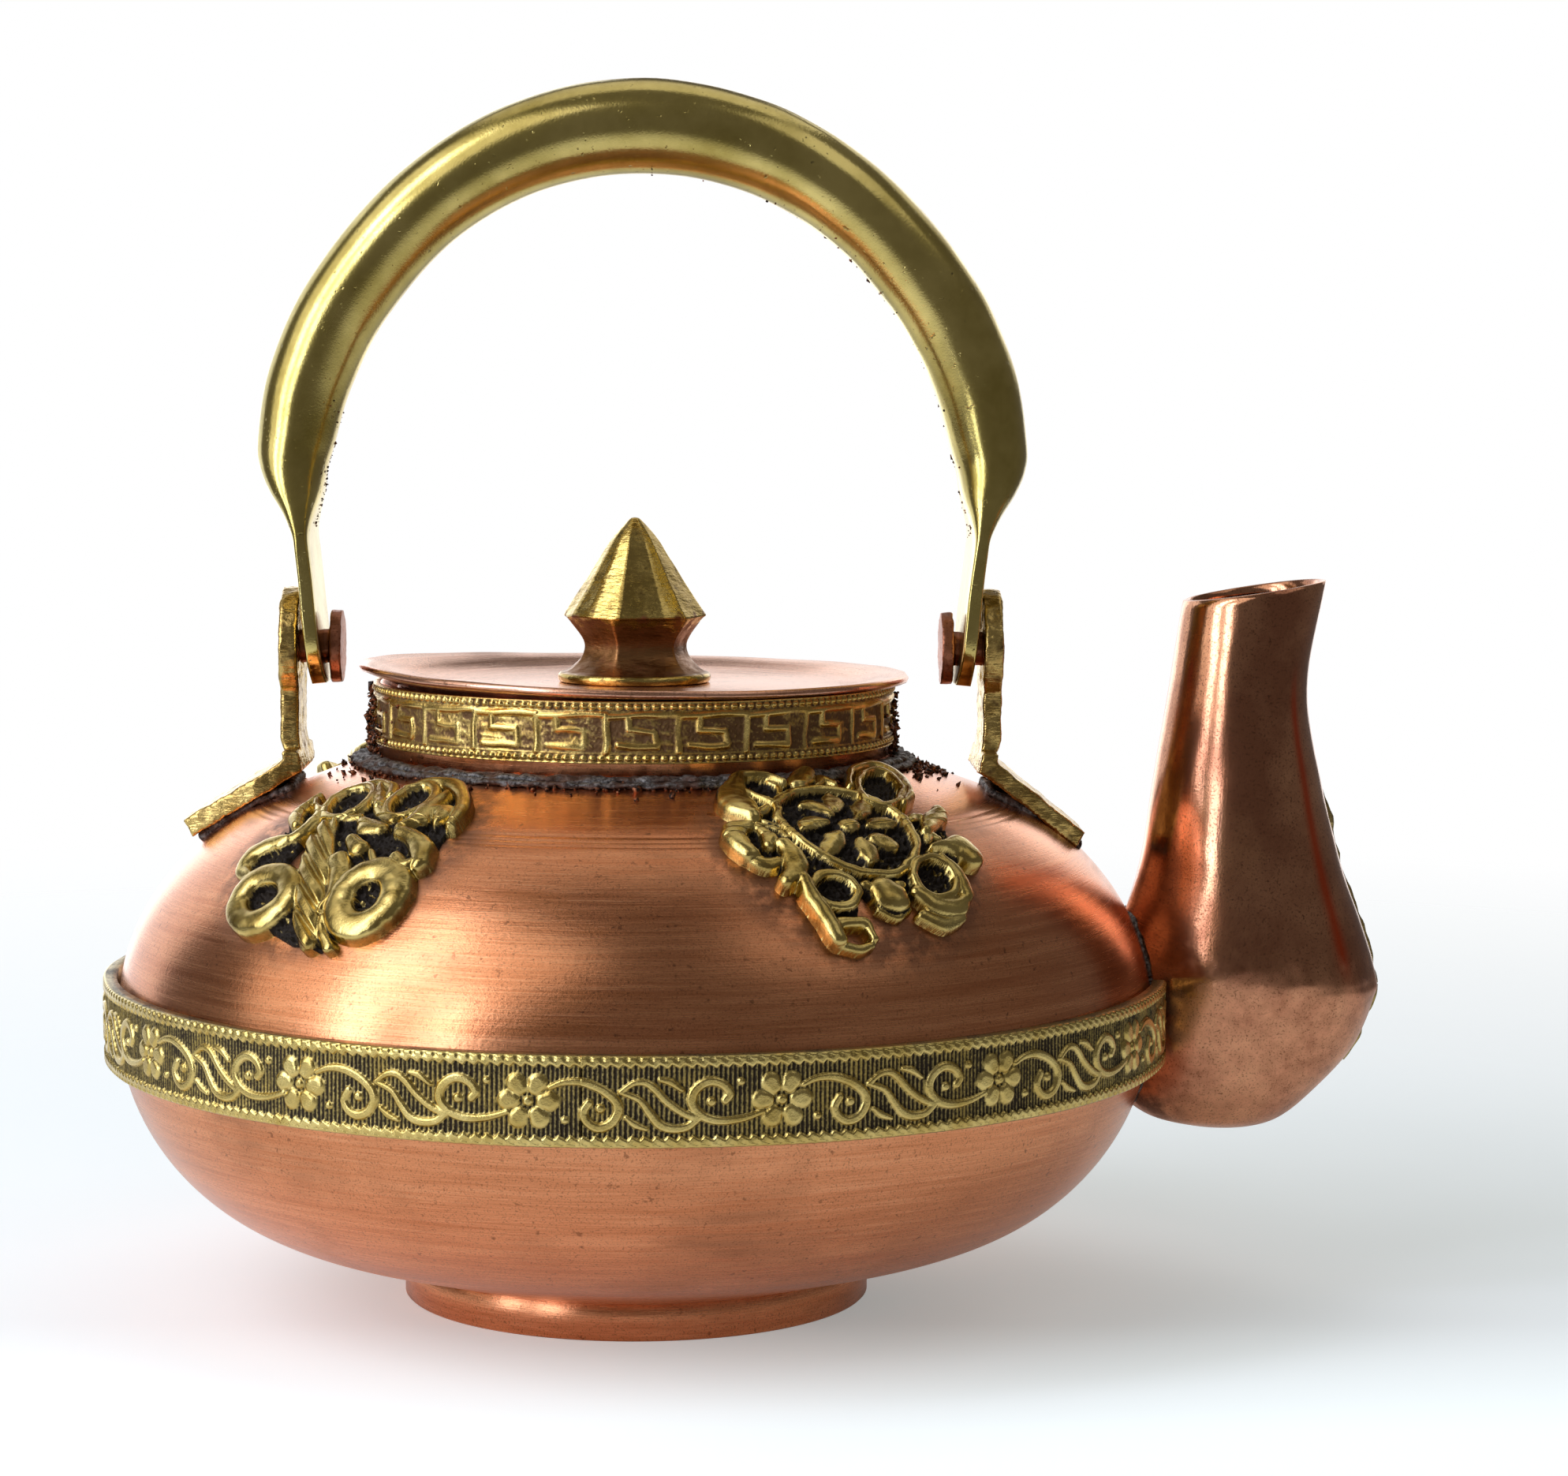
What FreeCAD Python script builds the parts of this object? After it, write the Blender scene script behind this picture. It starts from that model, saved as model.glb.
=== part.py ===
import FreeCAD, Part
import math
import os

import Sketcher

# A small spun-copper teapot with brass trim, a swinging brass bail and a lift-off lid.
# Millimetres. +X points to the spout, +Z is up, and the origin is the centre of the foot
# ring's resting face.

doc = FreeCAD.newDocument("copper_teapot")
vector = FreeCAD.Vector
X_AXIS = vector(1, 0, 0)
Y_AXIS = vector(0, 1, 0)
Z_AXIS = vector(0, 0, 1)

# ---------------------------------------------------------------- driving dimensions

DIMENSIONS = {
    # lengths that only need to be long enough
    "cut_margin": 1.0,
    "cut_reach": 200.0,
    "joining_overlap": 0.2,
    # foot
    "foot_radius": 29.9,
    "foot_wall": 1.2,
    "foot_fillet_leg": 1.5,
    # body shells: each outline is made of tangent arcs and straight cones
    "sheet_wall": 1.0,
    "equator_radius": 66.2,
    "equator_height": 37.0,
    "bowl_arc": 29.0,
    "bowl_cone_angle": 16.3,
    "bowl_floor_radius": 29.0,
    "dome_arc_low": 27.0,
    "dome_arc_high": 38.0,
    "dome_join_angle": 37.2,
    "crease_angle": 59.0,
    "facet_slope": 24.0,
    "facet_width": 4.5,
    "neck_slope": 20.0,
    "seam_lap": 3.0,
    # brass strip over the seam
    "band_bottom": 31.5,
    "band_top": 42.0,
    "band_inner_radius": 66.25,
    "band_outer_radius": 68.0,
    "band_border_width": 1.5,
    "band_border_rise": 0.35,
    "band_gap_angle": 18.5,
    # neck
    "neck_offset": -0.5,
    "collar_outer_radius": 32.6,
    "collar_wall": 1.0,
    "collar_bottom": 67.9,
    "neck_blank_radius": 29.6,
    "neck_top": 78.9,
    "neck_band_bottom": 71.4,
    "neck_band_wall": 0.9,
    "neck_fillet_width": 2.8,
    # lid
    "lid_wall": 0.9,
    "lid_floor": 77.9,
    "lid_flat_radius": 27.0,
    "lid_seat_radius": 31.6,
    "lid_seat_height": 79.05,
    "lid_rim_radius": 35.1,
    "lid_rim_height": 79.75,
    "lid_arc": 16.0,
    "lid_lean": 0.2,
    "ring_outer_radius": 30.3,
    "ring_wall": 0.8,
    "ring_depth": 4.0,
    # knob
    "knob_sides": 8,
    "knob_flange_radius": 9.7,
    "knob_flange_height": 1.3,
    "knob_foot_radius": 8.9,
    "knob_waist_radius": 6.7,
    "knob_waist_height": 83.6,
    "knob_wide_radius": 9.2,
    "knob_wide_height": 87.0,
    "knob_tip_radius": 0.5,
    "knob_tip_height": 99.8,
    "knob_stem_radius": 1.6,
    "knob_washer_radius": 4.0,
    "knob_washer_wall": 0.9,
    "knob_peen_radius": 2.2,
    "knob_peen_height": 0.7,
    # pivots of the bail, measured from its own middle plane
    "bail_offset": 0.5,
    "pivot_height": 83.2,
    "rivet_radius": 2.15,
    "rivet_play": 0.05,
    "rivet_head_radius": 4.6,
    "rivet_head_wall": 1.5,
    "rivet_head_inner": 38.2,
    "rivet_peen_radius": 2.9,
    "rivet_peen_wall": 0.5,
    # lugs
    "lug_inner": 43.4,
    "lug_wall": 2.4,
    "lug_head_radius": 7.6,
    "lug_stem_width": 11.0,
    "lug_stem_lean": 0.8,
    "lug_straight_bottom": 72.0,
    "lug_bend_height": 68.0,
    "lug_foot_slope": 31.5,
    "lug_foot_reach": 14.2,
    "lug_foot_width": 18.0,
    "lug_tip_width": 11.0,
    "lug_notch_rise": 2.5,
    "lug_foot_straight": 3.0,
    "lug_trim_gap": 0.001,
    # bail handle
    "bail_centre_height": 106.3,
    "bail_tube_width": 12.0,
    "bail_wall": 1.0,
    "bore_least_half": 0.5,
    "flattening": 0.3,
    "tab_pivot": 41.4,
    "tab_tilt": 6.0,
    "tab_wall": 2.0,
    "tab_width": 17.0,
    "tab_top": 97.0,
    "tab_bottom": 78.6,
    "tab_clip": 4.5,
    # spout
    "spout_wall": 1.0,
    "spout_mouth_height": 90.85,
    "spout_mouth_middle": 79.0,
    "spout_mouth_tilt": 8.9,
    "spout_mouth_length": 18.4,
    "spout_mouth_width": 17.0,
    "spout_mouth_relief": 0.05,
    "seam_width": 0.5,
    "spout_hole_radius": 1.8,
    "spout_hole_pitch": 5.5,
    "spout_hole_low": 28.5,
    "spout_hole_high": 45.0,
    # medallions
    "medal_wall": 2.2,
    "medal_radius": 15.0,
    "medal_centre_radius": 50.2,
    "medal_tilt": 32.0,
    "medal_top_radius": 37.6,
    "medal_bottom_angle": 34.5,
    "medal_sector": 56.0,
    "medal_left_azimuth": 48.0,
    "medal_right_azimuth": 60.0,
}

# Bail tube, from the crown down: angle above the centre, outer and inner edge from the centre.
BAIL_ARCH = (
    (90, 49.0, 37.0),
    (70, 48.7, 37.1),
    (50, 48.2, 37.2),
    (30, 48.4, 37.5),
    (15, 49.0, 38.3),
    (4, 49.1, 39.2),
)
# Below the arch the tube is pressed flat: height, middle, half thickness and half width.
BAIL_TAPER = (
    (106.0, 44.4, 4.4, 6.9),
    (103.0, 44.0, 3.5, 7.5),
    (100.0, 43.4, 2.1, 8.2),
    (97.0, 42.85, 1.05, 8.5),
)
# Spout from its bottom up: height, edge by the pot, outer edge and half width.
SPOUT_STATIONS = (
    (21.9, 70.0, 81.0, 5.0),
    (23.2, 65.5, 84.0, 8.2),
    (26.3, 62.0, 87.6, 10.6),
    (32.0, 60.5, 92.6, 12.2),
    (40.0, 60.5, 95.45, 12.9),
    (48.0, 62.6, 93.4, 12.5),
    (56.0, 64.9, 90.5, 11.8),
    (66.0, 66.25, 88.0, 10.6),
    (78.5, 68.2, 85.9, 9.0),
)

# Points on each closed section of the bail and the spout, and the exponent of an ellipse.
SECTION_POINTS = 24
ELLIPSE = 2.0

for name, table in (("arch", BAIL_ARCH), ("taper", BAIL_TAPER), ("spout", SPOUT_STATIONS)):
    for station, values in enumerate(table):
        for column, value in enumerate(values):
            DIMENSIONS["%s_%d_%d" % (name, station, column)] = value

sheet = doc.addObject("Spreadsheet::Sheet", "params")
for row, (alias, value) in enumerate(DIMENSIONS.items(), start=1):
    sheet.set("A%d" % row, alias)
    sheet.set("B%d" % row, str(value))
    sheet.setAlias("B%d" % row, alias)
doc.recompute()


def size(alias):
    """A driving dimension, as a plain number."""
    return float(sheet.get(alias))


def number(expression):
    """Value of an expression written in the sheet's aliases."""
    result = sheet.evalExpression(expression)
    return float(getattr(result, "Value", result))


# ---------------------------------------------------------------- modelling helpers

def new_body(label):
    body = doc.addObject("PartDesign::Body", label)
    body.Label = label
    return body


def new_sketch(body, name, role):
    """A sketch on one of the body's own origin planes."""
    planes = [item for item in body.Origin.OriginFeatures if item.Role == role]
    sketch = body.newObject("Sketcher::SketchObject", name)
    sketch.AttachmentSupport = [(planes[0], "")]
    sketch.MapMode = "FlatFace"
    return sketch


def bind_point(sketch, geometry, corner, across, up):
    """Holds one corner of a sketch at two expressions."""
    for kind, text in (("DistanceX", across), ("DistanceY", up)):
        index = sketch.addConstraint(
            Sketcher.Constraint(kind, -1, 1, geometry, corner, number(text)))
        sketch.setExpression("Constraints[%d]" % index, text)


def outline(sketch, corners):
    """A closed outline. Each corner is (across, up) for a straight side to the next corner,
    or (across, up, radius, turn) for an arc, where turn is +1 counter-clockwise."""
    count = len(corners)
    places = [vector(number(item[0]), number(item[1]), 0) for item in corners]
    starts = []
    ends = []
    for index, item in enumerate(corners):
        here = places[index]
        there = places[(index + 1) % count]
        if len(item) == 2:
            geometry = sketch.addGeometry(Part.LineSegment(here, there))
            starts.append((geometry, 1))
            ends.append((geometry, 2))
            continue
        radius = number(item[2])
        turn = item[3]
        middle = (here + there) * 0.5
        half = (there - here).Length / 2
        left = Z_AXIS.cross(there - here).normalize()
        centre = middle + left * turn * math.sqrt(radius ** 2 - half ** 2)
        first, last = (here, there) if turn > 0 else (there, here)
        angles = [math.atan2(point.y - centre.y, point.x - centre.x) for point in (first, last)]
        if angles[1] < angles[0]:
            angles[1] += 2 * math.pi
        circle = Part.Circle(centre, Z_AXIS, radius)
        geometry = sketch.addGeometry(Part.ArcOfCircle(circle, angles[0], angles[1]))
        starts.append((geometry, 1 if turn > 0 else 2))
        ends.append((geometry, 2 if turn > 0 else 1))
        index_radius = sketch.addConstraint(Sketcher.Constraint("Radius", geometry, radius))
        sketch.setExpression("Constraints[%d]" % index_radius, item[2])
    for index, item in enumerate(corners):
        following = starts[(index + 1) % count]
        sketch.addConstraint(Sketcher.Constraint("Coincident", *ends[index], *following))
        bind_point(sketch, *starts[index], item[0], item[1])


def revolve(body, sketch, name, kind="Revolution", angle=360.0, midplane=False):
    feature = body.newObject("PartDesign::" + kind, name)
    feature.Profile = sketch
    feature.ReferenceAxis = (sketch, ["V_Axis"])
    feature.Angle = angle
    feature.Midplane = midplane
    return feature


def turned(label, corners):
    """A body turned about its own Z axis from one closed outline."""
    body = new_body(label)
    sketch = new_sketch(body, label + "_outline", "XZ_Plane")
    outline(sketch, corners)
    revolve(body, sketch, label + "_turned")
    return body


def circle_cut(body, name, role, radius, centres, length):
    """Round holes cut from an origin plane along its normal. All sizes are expressions."""
    sketch = new_sketch(body, name + "_outline", role)
    for across, up in centres:
        middle = vector(number(across), number(up), 0)
        geometry = sketch.addGeometry(Part.Circle(middle, Z_AXIS, number(radius)))
        index = sketch.addConstraint(Sketcher.Constraint("Radius", geometry, number(radius)))
        sketch.setExpression("Constraints[%d]" % index, radius)
        bind_point(sketch, geometry, 3, across, up)
    pocket = body.newObject("PartDesign::Pocket", name)
    pocket.Profile = sketch
    pocket.setExpression("Length", length)
    pocket.Reversed = True


def primitive(kind, name, expressions, base=vector(), axis=Z_AXIS):
    """A Part primitive whose sizes are bound to the sheet, pointing along axis."""
    item = doc.addObject("Part::" + kind, name)
    for prop, text in expressions.items():
        item.setExpression(prop, text)
    item.Placement = FreeCAD.Placement(base, FreeCAD.Rotation(Z_AXIS, axis))
    return item


def combine(kind, label, first, second):
    """A boolean of two document objects."""
    item = doc.addObject("Part::" + kind, label)
    item.Label = label
    item.Base = first
    item.Tool = second
    return item


def shape_feature(label, shape):
    item = doc.addObject("Part::Feature", label)
    item.Label = label
    item.Shape = shape
    item.Placement = FreeCAD.Placement()
    return item


# ---------------------------------------------------------------- outline of the copper body

# Every corner of the shells' outlines, as expressions. "grow" moves an outline outward
# from the outer surface, so the inner surface is the same outline with grow = -wall.

def bowl_corners(grow):
    """Bowl outline from the axis to the equator: floor, cone, then one arc."""
    arc = "(params.bowl_arc + %s)" % grow
    centre = "(params.equator_radius - params.bowl_arc)"
    cone_x = "%s + %s * sin(params.bowl_cone_angle * 1deg)" % (centre, arc)
    cone_z = "params.equator_height - %s * cos(params.bowl_cone_angle * 1deg)" % arc
    floor_z = "(%s) - ((%s) - params.bowl_floor_radius) * tan(params.bowl_cone_angle * 1deg)" % (
        cone_z, cone_x)
    return [
        ("0", floor_z),
        ("params.bowl_floor_radius", floor_z),
        (cone_x, cone_z, arc, 1),
        ("params.equator_radius + %s" % grow, "params.equator_height"),
    ]


def dome_points(grow):
    """Dome outline from the equator to the neck: two tangent arcs, a facet and a cone."""
    low = "(params.dome_arc_low + %s)" % grow
    high = "(params.dome_arc_high + %s)" % grow
    low_centre_x = "(params.equator_radius - params.dome_arc_low)"
    join = "params.dome_join_angle * 1deg"
    crease = "params.crease_angle * 1deg"
    join_x = "(%s + %s * cos(%s))" % (low_centre_x, low, join)
    join_z = "(params.equator_height + %s * sin(%s))" % (low, join)
    crease_x = "(%s + %s * (cos(%s) - cos(%s)))" % (join_x, high, crease, join)
    crease_z = "(%s + %s * (sin(%s) - sin(%s)))" % (join_z, high, crease, join)
    facet_x = "(%s - params.facet_width)" % crease_x
    facet_z = "(%s + params.facet_width * tan(params.facet_slope * 1deg))" % crease_z
    return {
        "equator": ("params.equator_radius + %s" % grow, "params.equator_height"),
        "join": (join_x, join_z),
        "crease": (crease_x, crease_z),
        "facet": (facet_x, facet_z),
        "low": low,
        "high": high,
    }


def cone_height(points, radius):
    """Height of the top cone at a radius inside the facet."""
    facet_x, facet_z = points["facet"]
    return "(%s + (%s - %s) * tan(params.neck_slope * 1deg))" % (facet_z, facet_x, radius)


# ---------------------------------------------------------------- body shells

def make_lower_bowl():
    body = new_body("body_lower_bowl")
    sketch = new_sketch(body, "bowl_outline", "XZ_Plane")
    outer = bowl_corners("0")
    inner = bowl_corners("(-params.sheet_wall)")
    inner_arc = inner[2][2]
    corners = [outer[0], outer[1], outer[2], outer[3], inner[3][:2] + (inner_arc, -1),
               inner[2][:2], inner[1], inner[0]]
    outline(sketch, corners)
    revolve(body, sketch, "bowl_turned")
    spout_holes(body, "bowl_holes", "params.spout_hole_low")
    return body


def make_upper_dome():
    body = new_body("body_upper_dome")
    sketch = new_sketch(body, "dome_outline", "XZ_Plane")
    outer = dome_points("0")
    inner = dome_points("(-params.sheet_wall)")
    lap_x = "params.equator_radius - params.sheet_wall"
    lap_z = "params.equator_height - params.seam_lap"
    thin_x = "params.equator_radius - 2 * params.sheet_wall"
    neck = "params.neck_blank_radius"
    lap_sag = "(params.bowl_arc - params.sheet_wall)"
    low_outer = "%s - %s + sqrt(%s^2 - params.seam_lap^2)" % (lap_x, lap_sag, lap_sag)
    thin_sag = "(params.bowl_arc - 2 * params.sheet_wall)"
    low_inner = "%s - %s + sqrt(%s^2 - params.seam_lap^2)" % (thin_x, thin_sag, thin_sag)
    corners = [
        outer["equator"] + (outer["low"], 1),
        outer["join"] + (outer["high"], 1),
        outer["crease"],
        outer["facet"],
        (neck, cone_height(outer, neck)),
        (neck, cone_height(inner, neck)),
        inner["facet"],
        inner["crease"] + (inner["high"], -1),
        inner["join"],
        (thin_x, "params.equator_height", thin_sag, -1),
        (low_inner, lap_z),
        (low_outer, lap_z, lap_sag, 1),
        (lap_x, "params.equator_height"),
    ]
    outline(sketch, corners)
    revolve(body, sketch, "dome_turned")
    circle_cut(body, "neck_hole", "XY_Plane", "params.collar_outer_radius",
               [("params.neck_offset", "0")], "params.neck_top")
    spout_holes(body, "dome_holes", "params.spout_hole_high")
    return body


def spout_holes(body, name, height):
    """A row of three pouring holes through the wall on the spout's side."""
    centres = [("%d * params.spout_hole_pitch" % step, height) for step in (-1, 0, 1)]
    circle_cut(body, name, "YZ_Plane", "params.spout_hole_radius", centres,
               "params.equator_radius + params.cut_margin")


def make_foot():
    floor_z = bowl_corners("0")[0][1]
    cone = "(%s + (params.foot_radius - params.bowl_floor_radius) * tan(params.bowl_cone_angle * 1deg))"
    inside = "(params.foot_radius - params.foot_wall)"
    turned("foot_ring", [
        (inside, "0"),
        ("params.foot_radius", "0"),
        ("params.foot_radius", cone % floor_z),
        ("params.bowl_floor_radius", floor_z),
        (inside, floor_z),
    ])
    turned("foot_solder", [
        (inside, "%s - params.foot_fillet_leg" % floor_z),
        (inside, floor_z),
        ("%s - params.foot_fillet_leg" % inside, floor_z),
    ])


def make_belly_band():
    """Stamped strip with two raised borders, open where the spout stands."""
    body = new_body("belly_band")
    sketch = new_sketch(body, "band_outline", "XZ_Plane")
    field = "params.band_outer_radius - params.band_border_rise"
    outline(sketch, [
        ("params.band_inner_radius", "params.band_bottom"),
        ("params.band_outer_radius", "params.band_bottom"),
        ("params.band_outer_radius", "params.band_bottom + params.band_border_width"),
        (field, "params.band_bottom + params.band_border_width"),
        (field, "params.band_top - params.band_border_width"),
        ("params.band_outer_radius", "params.band_top - params.band_border_width"),
        ("params.band_outer_radius", "params.band_top"),
        ("params.band_inner_radius", "params.band_top"),
    ])
    feature = revolve(body, sketch, "band_turned", midplane=True)
    feature.setExpression("Angle", "360 - params.band_gap_angle")
    body.Placement = FreeCAD.Placement(vector(), FreeCAD.Rotation(Z_AXIS, 180))


# ---------------------------------------------------------------- neck

def make_neck():
    outer = dome_points("0")
    collar = turned("neck_collar", [
        ("params.collar_outer_radius - params.collar_wall", "params.collar_bottom"),
        ("params.collar_outer_radius", "params.collar_bottom"),
        ("params.collar_outer_radius", "params.neck_top"),
        ("params.collar_outer_radius - params.collar_wall", "params.neck_top"),
    ])
    band_outer = "(params.collar_outer_radius + params.neck_band_wall)"
    band = turned("neck_band", [
        ("params.collar_outer_radius", "params.neck_band_bottom"),
        (band_outer, "params.neck_band_bottom"),
        (band_outer, "params.neck_top"),
        ("params.collar_outer_radius", "params.neck_top"),
    ])
    # the fillet stays a hair above the dome, whose axis lies beside the neck's
    edge = "(%s + params.neck_fillet_width)" % band_outer
    lift = "%s - params.neck_offset * tan(params.neck_slope * 1deg)"
    solder = turned("neck_solder", [
        ("params.collar_outer_radius", lift % cone_height(outer, "params.collar_outer_radius")),
        (edge, lift % cone_height(outer, edge)),
        (band_outer, "params.neck_band_bottom"),
        ("params.collar_outer_radius", "params.neck_band_bottom"),
    ])
    for body in (collar, band, solder):
        body.setExpression(".Placement.Base.x", "params.neck_offset")


# ---------------------------------------------------------------- lid

def make_lid():
    """Shallow dish with a flared rim, and a strip ring under it that drops into the neck."""
    top = "params.lid_floor + params.lid_wall"
    lower_seat = ("params.lid_seat_radius", "params.lid_seat_height")
    upper_seat = ("params.lid_seat_radius - params.lid_lean", "params.lid_seat_height + params.lid_wall")
    rim_top = ("params.lid_rim_radius - params.lid_lean", "params.lid_rim_height + params.lid_wall")
    dish = turned("lid_dish", [
        ("params.knob_stem_radius", "params.lid_floor"),
        ("params.lid_flat_radius", "params.lid_floor", "params.lid_arc", 1),
        lower_seat,
        ("params.lid_rim_radius", "params.lid_rim_height"),
        rim_top,
        upper_seat + ("params.lid_arc", -1),
        ("params.lid_flat_radius - params.lid_lean", top),
        ("params.knob_stem_radius", top),
    ])
    inside = "params.ring_outer_radius - params.ring_wall"
    blank = turned("ring_blank", [
        (inside, "params.lid_floor - params.ring_depth"),
        ("params.ring_outer_radius", "params.lid_floor - params.ring_depth"),
        ("params.ring_outer_radius", top),
        (inside, top),
    ])
    for body in (dish, blank):
        body.setExpression(".Placement.Base.x", "params.neck_offset")
    # the ring's upper edge is trimmed to the underside of the dish
    combine("Cut", "lid_locating_ring", blank, dish)


def make_knob():
    """Eight-sided spire on a round flange, with a stem peened over a washer."""
    place = vector(size("neck_offset"), 0, 0)
    floor_top = size("lid_floor") + size("lid_wall")
    flange_top = floor_top + size("knob_flange_height")
    overlap = size("joining_overlap")
    sections = [
        ("knob_foot_radius", flange_top - overlap),
        ("knob_waist_radius", size("knob_waist_height")),
        ("knob_wide_radius", size("knob_wide_height")),
        ("knob_tip_radius", size("knob_tip_height")),
    ]
    rings = []
    flat_to_front = FreeCAD.Rotation(Z_AXIS, 180 / size("knob_sides"))
    for alias, height in sections:
        ring = doc.addObject("Part::RegularPolygon", "knob_section")
        ring.setExpression("Polygon", "params.knob_sides")
        ring.setExpression("Circumradius", "params." + alias)
        ring.Placement = FreeCAD.Placement(place + vector(0, 0, height), flat_to_front)
        rings.append(ring)
    spire = doc.addObject("Part::Loft", "knob_spire")
    spire.Sections = rings
    spire.Solid = True
    spire.Ruled = True
    flange = primitive("Cylinder", "knob_flange", {
        "Radius": "params.knob_flange_radius",
        "Height": "params.knob_flange_height"}, place + vector(0, 0, floor_top))
    stem_foot = size("lid_floor") - size("knob_washer_wall") - size("knob_peen_height")
    stem = primitive("Cylinder", "knob_stem", {
        "Radius": "params.knob_stem_radius"}, place + vector(0, 0, stem_foot))
    stem.Height = floor_top + overlap - stem_foot
    peen = primitive("Cylinder", "knob_peen", {
        "Radius": "params.knob_peen_radius",
        "Height": "params.knob_peen_height"}, place + vector(0, 0, stem_foot))
    top = combine("Fuse", "knob_top", spire, flange)
    bottom = combine("Fuse", "knob_bottom", stem, peen)
    combine("Fuse", "lid_knob", top, bottom)
    disc = primitive("Cylinder", "washer_disc", {
        "Radius": "params.knob_washer_radius",
        "Height": "params.knob_washer_wall"}, place + vector(0, 0, stem_foot + size("knob_peen_height")))
    hole = primitive("Cylinder", "washer_hole", {
        "Radius": "params.knob_stem_radius",
        "Height": "params.knob_washer_wall"}, disc.Placement.Base)
    combine("Cut", "lid_knob_washer", disc, hole)


# ---------------------------------------------------------------- lugs and rivets

def make_lug(label, side):
    """Strap bent from plate: round head at the pivot, stem, and a foot on the shoulder."""
    body = new_body(label)
    sketch = new_sketch(body, label + "_edge", "XZ_Plane")
    wall = "params.lug_wall"
    top = "params.pivot_height + params.lug_head_radius"
    slope = "params.lug_foot_slope * 1deg"
    knee_x = "(params.lug_inner - params.lug_stem_lean)"
    knee_z = "params.lug_bend_height"
    tip_x = "(%s + params.lug_foot_reach)" % knee_x
    tip_z = "(%s - params.lug_foot_reach * tan(%s))" % (knee_z, slope)
    # the outer faces meet where both offset faces cross
    outer_knee_z = "(%s + %s / cos(%s) - %s * tan(%s))" % (knee_z, wall, slope, wall, slope)
    corners = [
        ("params.lug_inner", top),
        ("params.lug_inner", "params.lug_straight_bottom"),
        (knee_x, knee_z),
        (tip_x, tip_z),
        ("%s + %s * sin(%s)" % (tip_x, wall, slope), "%s + %s * cos(%s)" % (tip_z, wall, slope)),
        ("%s + %s" % (knee_x, wall), outer_knee_z),
        ("params.lug_inner + " + wall, "params.lug_straight_bottom"),
        ("params.lug_inner + " + wall, top),
    ]
    outline(sketch, corners)
    pad = body.newObject("PartDesign::Pad", label + "_strap")
    pad.Profile = sketch
    pad.Midplane = True
    pad.setExpression("Length", "params.lug_foot_width")
    trim_head(body, label)
    trim_foot(body, label, tip_x)
    circle_cut(body, label + "_hole", "YZ_Plane", "params.rivet_radius",
               [("0", "params.pivot_height")], "params.cut_reach")
    turn = 180 if side < 0 else 0
    body.Placement = FreeCAD.Placement(vector(), FreeCAD.Rotation(Z_AXIS, turn))
    body.setExpression(".Placement.Base.x", "params.bail_offset")


def trim_head(body, label):
    """Cuts the strap to a round head and a narrower stem, seen along X."""
    half = "params.lug_foot_width / 2 + params.cut_margin"
    stem = "params.lug_stem_width / 2"
    neck_z = "params.pivot_height - sqrt(params.lug_head_radius^2 - (params.lug_stem_width / 2)^2)"
    stem_low = "params.lug_bend_height + params.lug_notch_rise"
    over = "params.pivot_height + params.lug_head_radius + params.cut_margin"
    for hand, sign in (("near", "-"), ("far", "")):
        sketch = new_sketch(body, "%s_%s_trim" % (label, hand), "YZ_Plane")
        turn = 1 if sign else -1
        outline(sketch, [
            (sign + "(%s)" % half, over),
            (sign + "(%s)" % half, stem_low),
            (sign + "(%s)" % stem, stem_low),
            (sign + "(%s)" % stem, neck_z, "params.lug_head_radius", -turn),
            (sign + "params.lug_trim_gap", "params.pivot_height + params.lug_head_radius"),
            (sign + "params.lug_trim_gap", over),
        ])
        pocket = body.newObject("PartDesign::Pocket", "%s_%s_cut" % (label, hand))
        pocket.Profile = sketch
        pocket.setExpression("Length", "params.cut_reach")
        pocket.Reversed = True


def trim_foot(body, label, tip_x):
    """Narrows the foot towards its tip, seen from above."""
    half = "params.lug_foot_width / 2 + params.cut_margin"
    tip_half = "params.lug_tip_width / 2"
    start = "(params.lug_inner + params.lug_wall + params.lug_foot_straight)"
    end = "(%s + params.lug_wall + params.cut_margin)" % tip_x
    for hand, sign in (("near", "-"), ("far", "")):
        sketch = new_sketch(body, "%s_%s_taper" % (label, hand), "XY_Plane")
        outline(sketch, [
            (start, sign + "(params.lug_foot_width / 2)"),
            (end, sign + "(%s)" % tip_half),
            (end, sign + "(%s)" % half),
            (start, sign + "(%s)" % half),
        ])
        pocket = body.newObject("PartDesign::Pocket", "%s_%s_point" % (label, hand))
        pocket.Profile = sketch
        pocket.setExpression("Length", "params.pivot_height")
        pocket.Reversed = True


def make_rivet(label, side):
    """Copper rivet along X: flat head inside the bail, end peened over the lug."""
    axis = X_AXIS * side
    height = size("pivot_height")
    middle = vector(size("bail_offset"), 0, height)
    head_place = middle + axis * size("rivet_head_inner")
    peen_place = middle + axis * (size("lug_inner") + size("lug_wall"))
    head = primitive("Cylinder", label + "_head", {
        "Radius": "params.rivet_head_radius",
        "Height": "params.rivet_head_wall"}, head_place, axis)
    shank = primitive("Cylinder", label + "_shank", {
        "Radius": "params.rivet_radius",
        "Height": "params.lug_inner + params.lug_wall - params.rivet_head_inner"}, head_place, axis)
    peen = primitive("Cone", label + "_peen", {
        "Radius1": "params.rivet_peen_radius",
        "Radius2": "params.rivet_radius",
        "Height": "params.rivet_peen_wall"}, peen_place, axis)
    combine("Fuse", label, combine("Fuse", label + "_bar", head, shank), peen)


# ---------------------------------------------------------------- bail handle

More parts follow.
